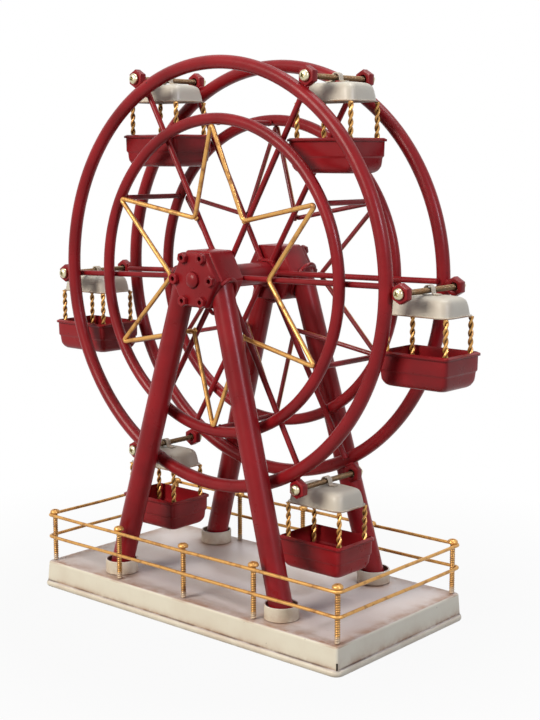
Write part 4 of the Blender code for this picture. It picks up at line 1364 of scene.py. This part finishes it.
class FERRIS_OT_stage(bpy.types.Operator):
    """Set the pale floor, the soft studio lights and the camera"""
    bl_idname = "ferris.stage"
    bl_label = "Stage and Camera"

    def execute(self, context):
        scene = context.scene
        scene.view_settings.view_transform = "Standard"
        bm = bmesh.new()
        bmesh.ops.create_grid(bm, x_segments=8, y_segments=8, size=6.0)
        mesh = bpy.data.meshes.new("studio_floor")
        bm.to_mesh(mesh)
        bm.free()
        floor = bpy.data.objects.new("studio_floor", mesh)
        scene.collection.objects.link(floor)
        paper = bpy.data.materials.new("white_paper")
        paper.use_nodes = True
        tree = paper.node_tree
        tree.nodes.clear()
        matt = add_node(tree, "ShaderNodeBsdfDiffuse", {"Color": linear("8C8A88")})
        glow = add_node(tree, "ShaderNodeEmission", {"Color": (1, 1, 1, 1), "Strength": 1.0})
        # the paper glows fully far away, and near the object it keeps a faint shadow
        spot = add_node(tree, "ShaderNodeTexCoord").outputs["Object"]
        away = add_node(tree, "ShaderNodeVectorMath", {0: spot},
                        operation="LENGTH").outputs["Value"]
        glowing = add_node(tree, "ShaderNodeMapRange",
                           {0: away, 1: 0.13, 2: 0.30, 3: 0.94}).outputs[0]
        share = add_node(tree, "ShaderNodeMath", {0: seen_share(tree), 1: glowing},
                         operation="MULTIPLY").outputs[0]
        mixed = add_node(tree, "ShaderNodeMixShader",
                         {0: share, 1: matt.outputs[0], 2: glow.outputs[0]})
        add_node(tree, "ShaderNodeOutputMaterial", {"Surface": mixed.outputs[0]})
        mesh.materials.append(paper)
        world = bpy.data.worlds.new("studio")
        scene.world = world
        world.use_nodes = True
        tree = world.node_tree
        tree.nodes.clear()
        soft = add_node(tree, "ShaderNodeBackground",
                        {"Color": (1, 1, 1, 1), "Strength": 0.07})
        white = add_node(tree, "ShaderNodeBackground",
                         {"Color": (1, 1, 1, 1), "Strength": 1.0})
        mixed = add_node(tree, "ShaderNodeMixShader",
                         {0: seen_share(tree), 1: soft.outputs[0], 2: white.outputs[0]})
        add_node(tree, "ShaderNodeOutputWorld", {"Surface": mixed.outputs[0]})
        target = Vector((0, 0, 150)) * MM
        for name, place, watts, span, tint in (
                ("front_light", (-0.35, -1.5, 0.95), 27.0, 0.7, "FFF6EC"),
                ("streak_light", (1.35, -0.25, 0.8), 8.5, 0.15, "EEF0FF"),
                ("top_light", (0.1, 0.3, 1.6), 11.0, 0.8, "FFFFFF")):
            lamp = bpy.data.lights.new(name, "AREA")
            lamp.energy = watts
            lamp.color = linear(tint)[:3]
            lamp.size = span
            holder = bpy.data.objects.new(name, lamp)
            holder.location = place
            aim = target - Vector(place)
            holder.rotation_euler = aim.to_track_quat("-Z", "Y").to_euler()
            scene.collection.objects.link(holder)
        camera = bpy.data.cameras.new("photo_camera")
        camera.lens = 66.74
        holder = bpy.data.objects.new("photo_camera", camera)
        eye = Vector((475.0, -528.2, 245.05)) * MM
        aim = Vector((-1.4, 21.8, 132.6)) * MM - eye
        holder.location = eye
        holder.rotation_euler = aim.to_track_quat("-Z", "Y").to_euler()
        scene.collection.objects.link(holder)
        scene.camera = holder
        return {"FINISHED"}


operators = (FERRIS_OT_tray, FERRIS_OT_legs, FERRIS_OT_hub, FERRIS_OT_rail,
             FERRIS_OT_outer_rings, FERRIS_OT_inner_rings, FERRIS_OT_spokes,
             FERRIS_OT_stars, FERRIS_OT_pivots, FERRIS_OT_canopies, FERRIS_OT_hangers,
             FERRIS_OT_buckets, FERRIS_OT_stage)
groups = (("ferris_stand", FERRIS_PG_stand), ("ferris_wheel", FERRIS_PG_wheel),
          ("ferris_gondola", FERRIS_PG_gondola), ("ferris_finish", FERRIS_PG_finish))


class FERRIS_PT_panel(bpy.types.Panel):
    """Lists the pieces and their sizes in the sidebar"""
    bl_idname = "FERRIS_PT_panel"
    bl_label = "Ferris Wheel"
    bl_space_type = "VIEW_3D"
    bl_region_type = "UI"
    bl_category = "Ferris Wheel"

    def draw(self, context):
        for operator in operators:
            self.layout.operator(operator.bl_idname)
        for name, group in groups:
            box = self.layout.box()
            box.label(text=group.__doc__)
            for field in group.__annotations__:
                box.prop(getattr(context.scene, name), field)


def register():
    for name, group in groups:
        bpy.utils.register_class(group)
        setattr(bpy.types.Scene, name, bpy.props.PointerProperty(type=group))
    for made in operators + (FERRIS_PT_panel,):
        bpy.utils.register_class(made)


def unregister():
    for made in reversed(operators + (FERRIS_PT_panel,)):
        bpy.utils.unregister_class(made)
    for name, group in reversed(groups):
        delattr(bpy.types.Scene, name)
        bpy.utils.unregister_class(group)


def main():
    register()
    for made in operators:
        getattr(bpy.ops.ferris, made.bl_idname.split(".")[1])()


if __name__ == "__main__":
    main()
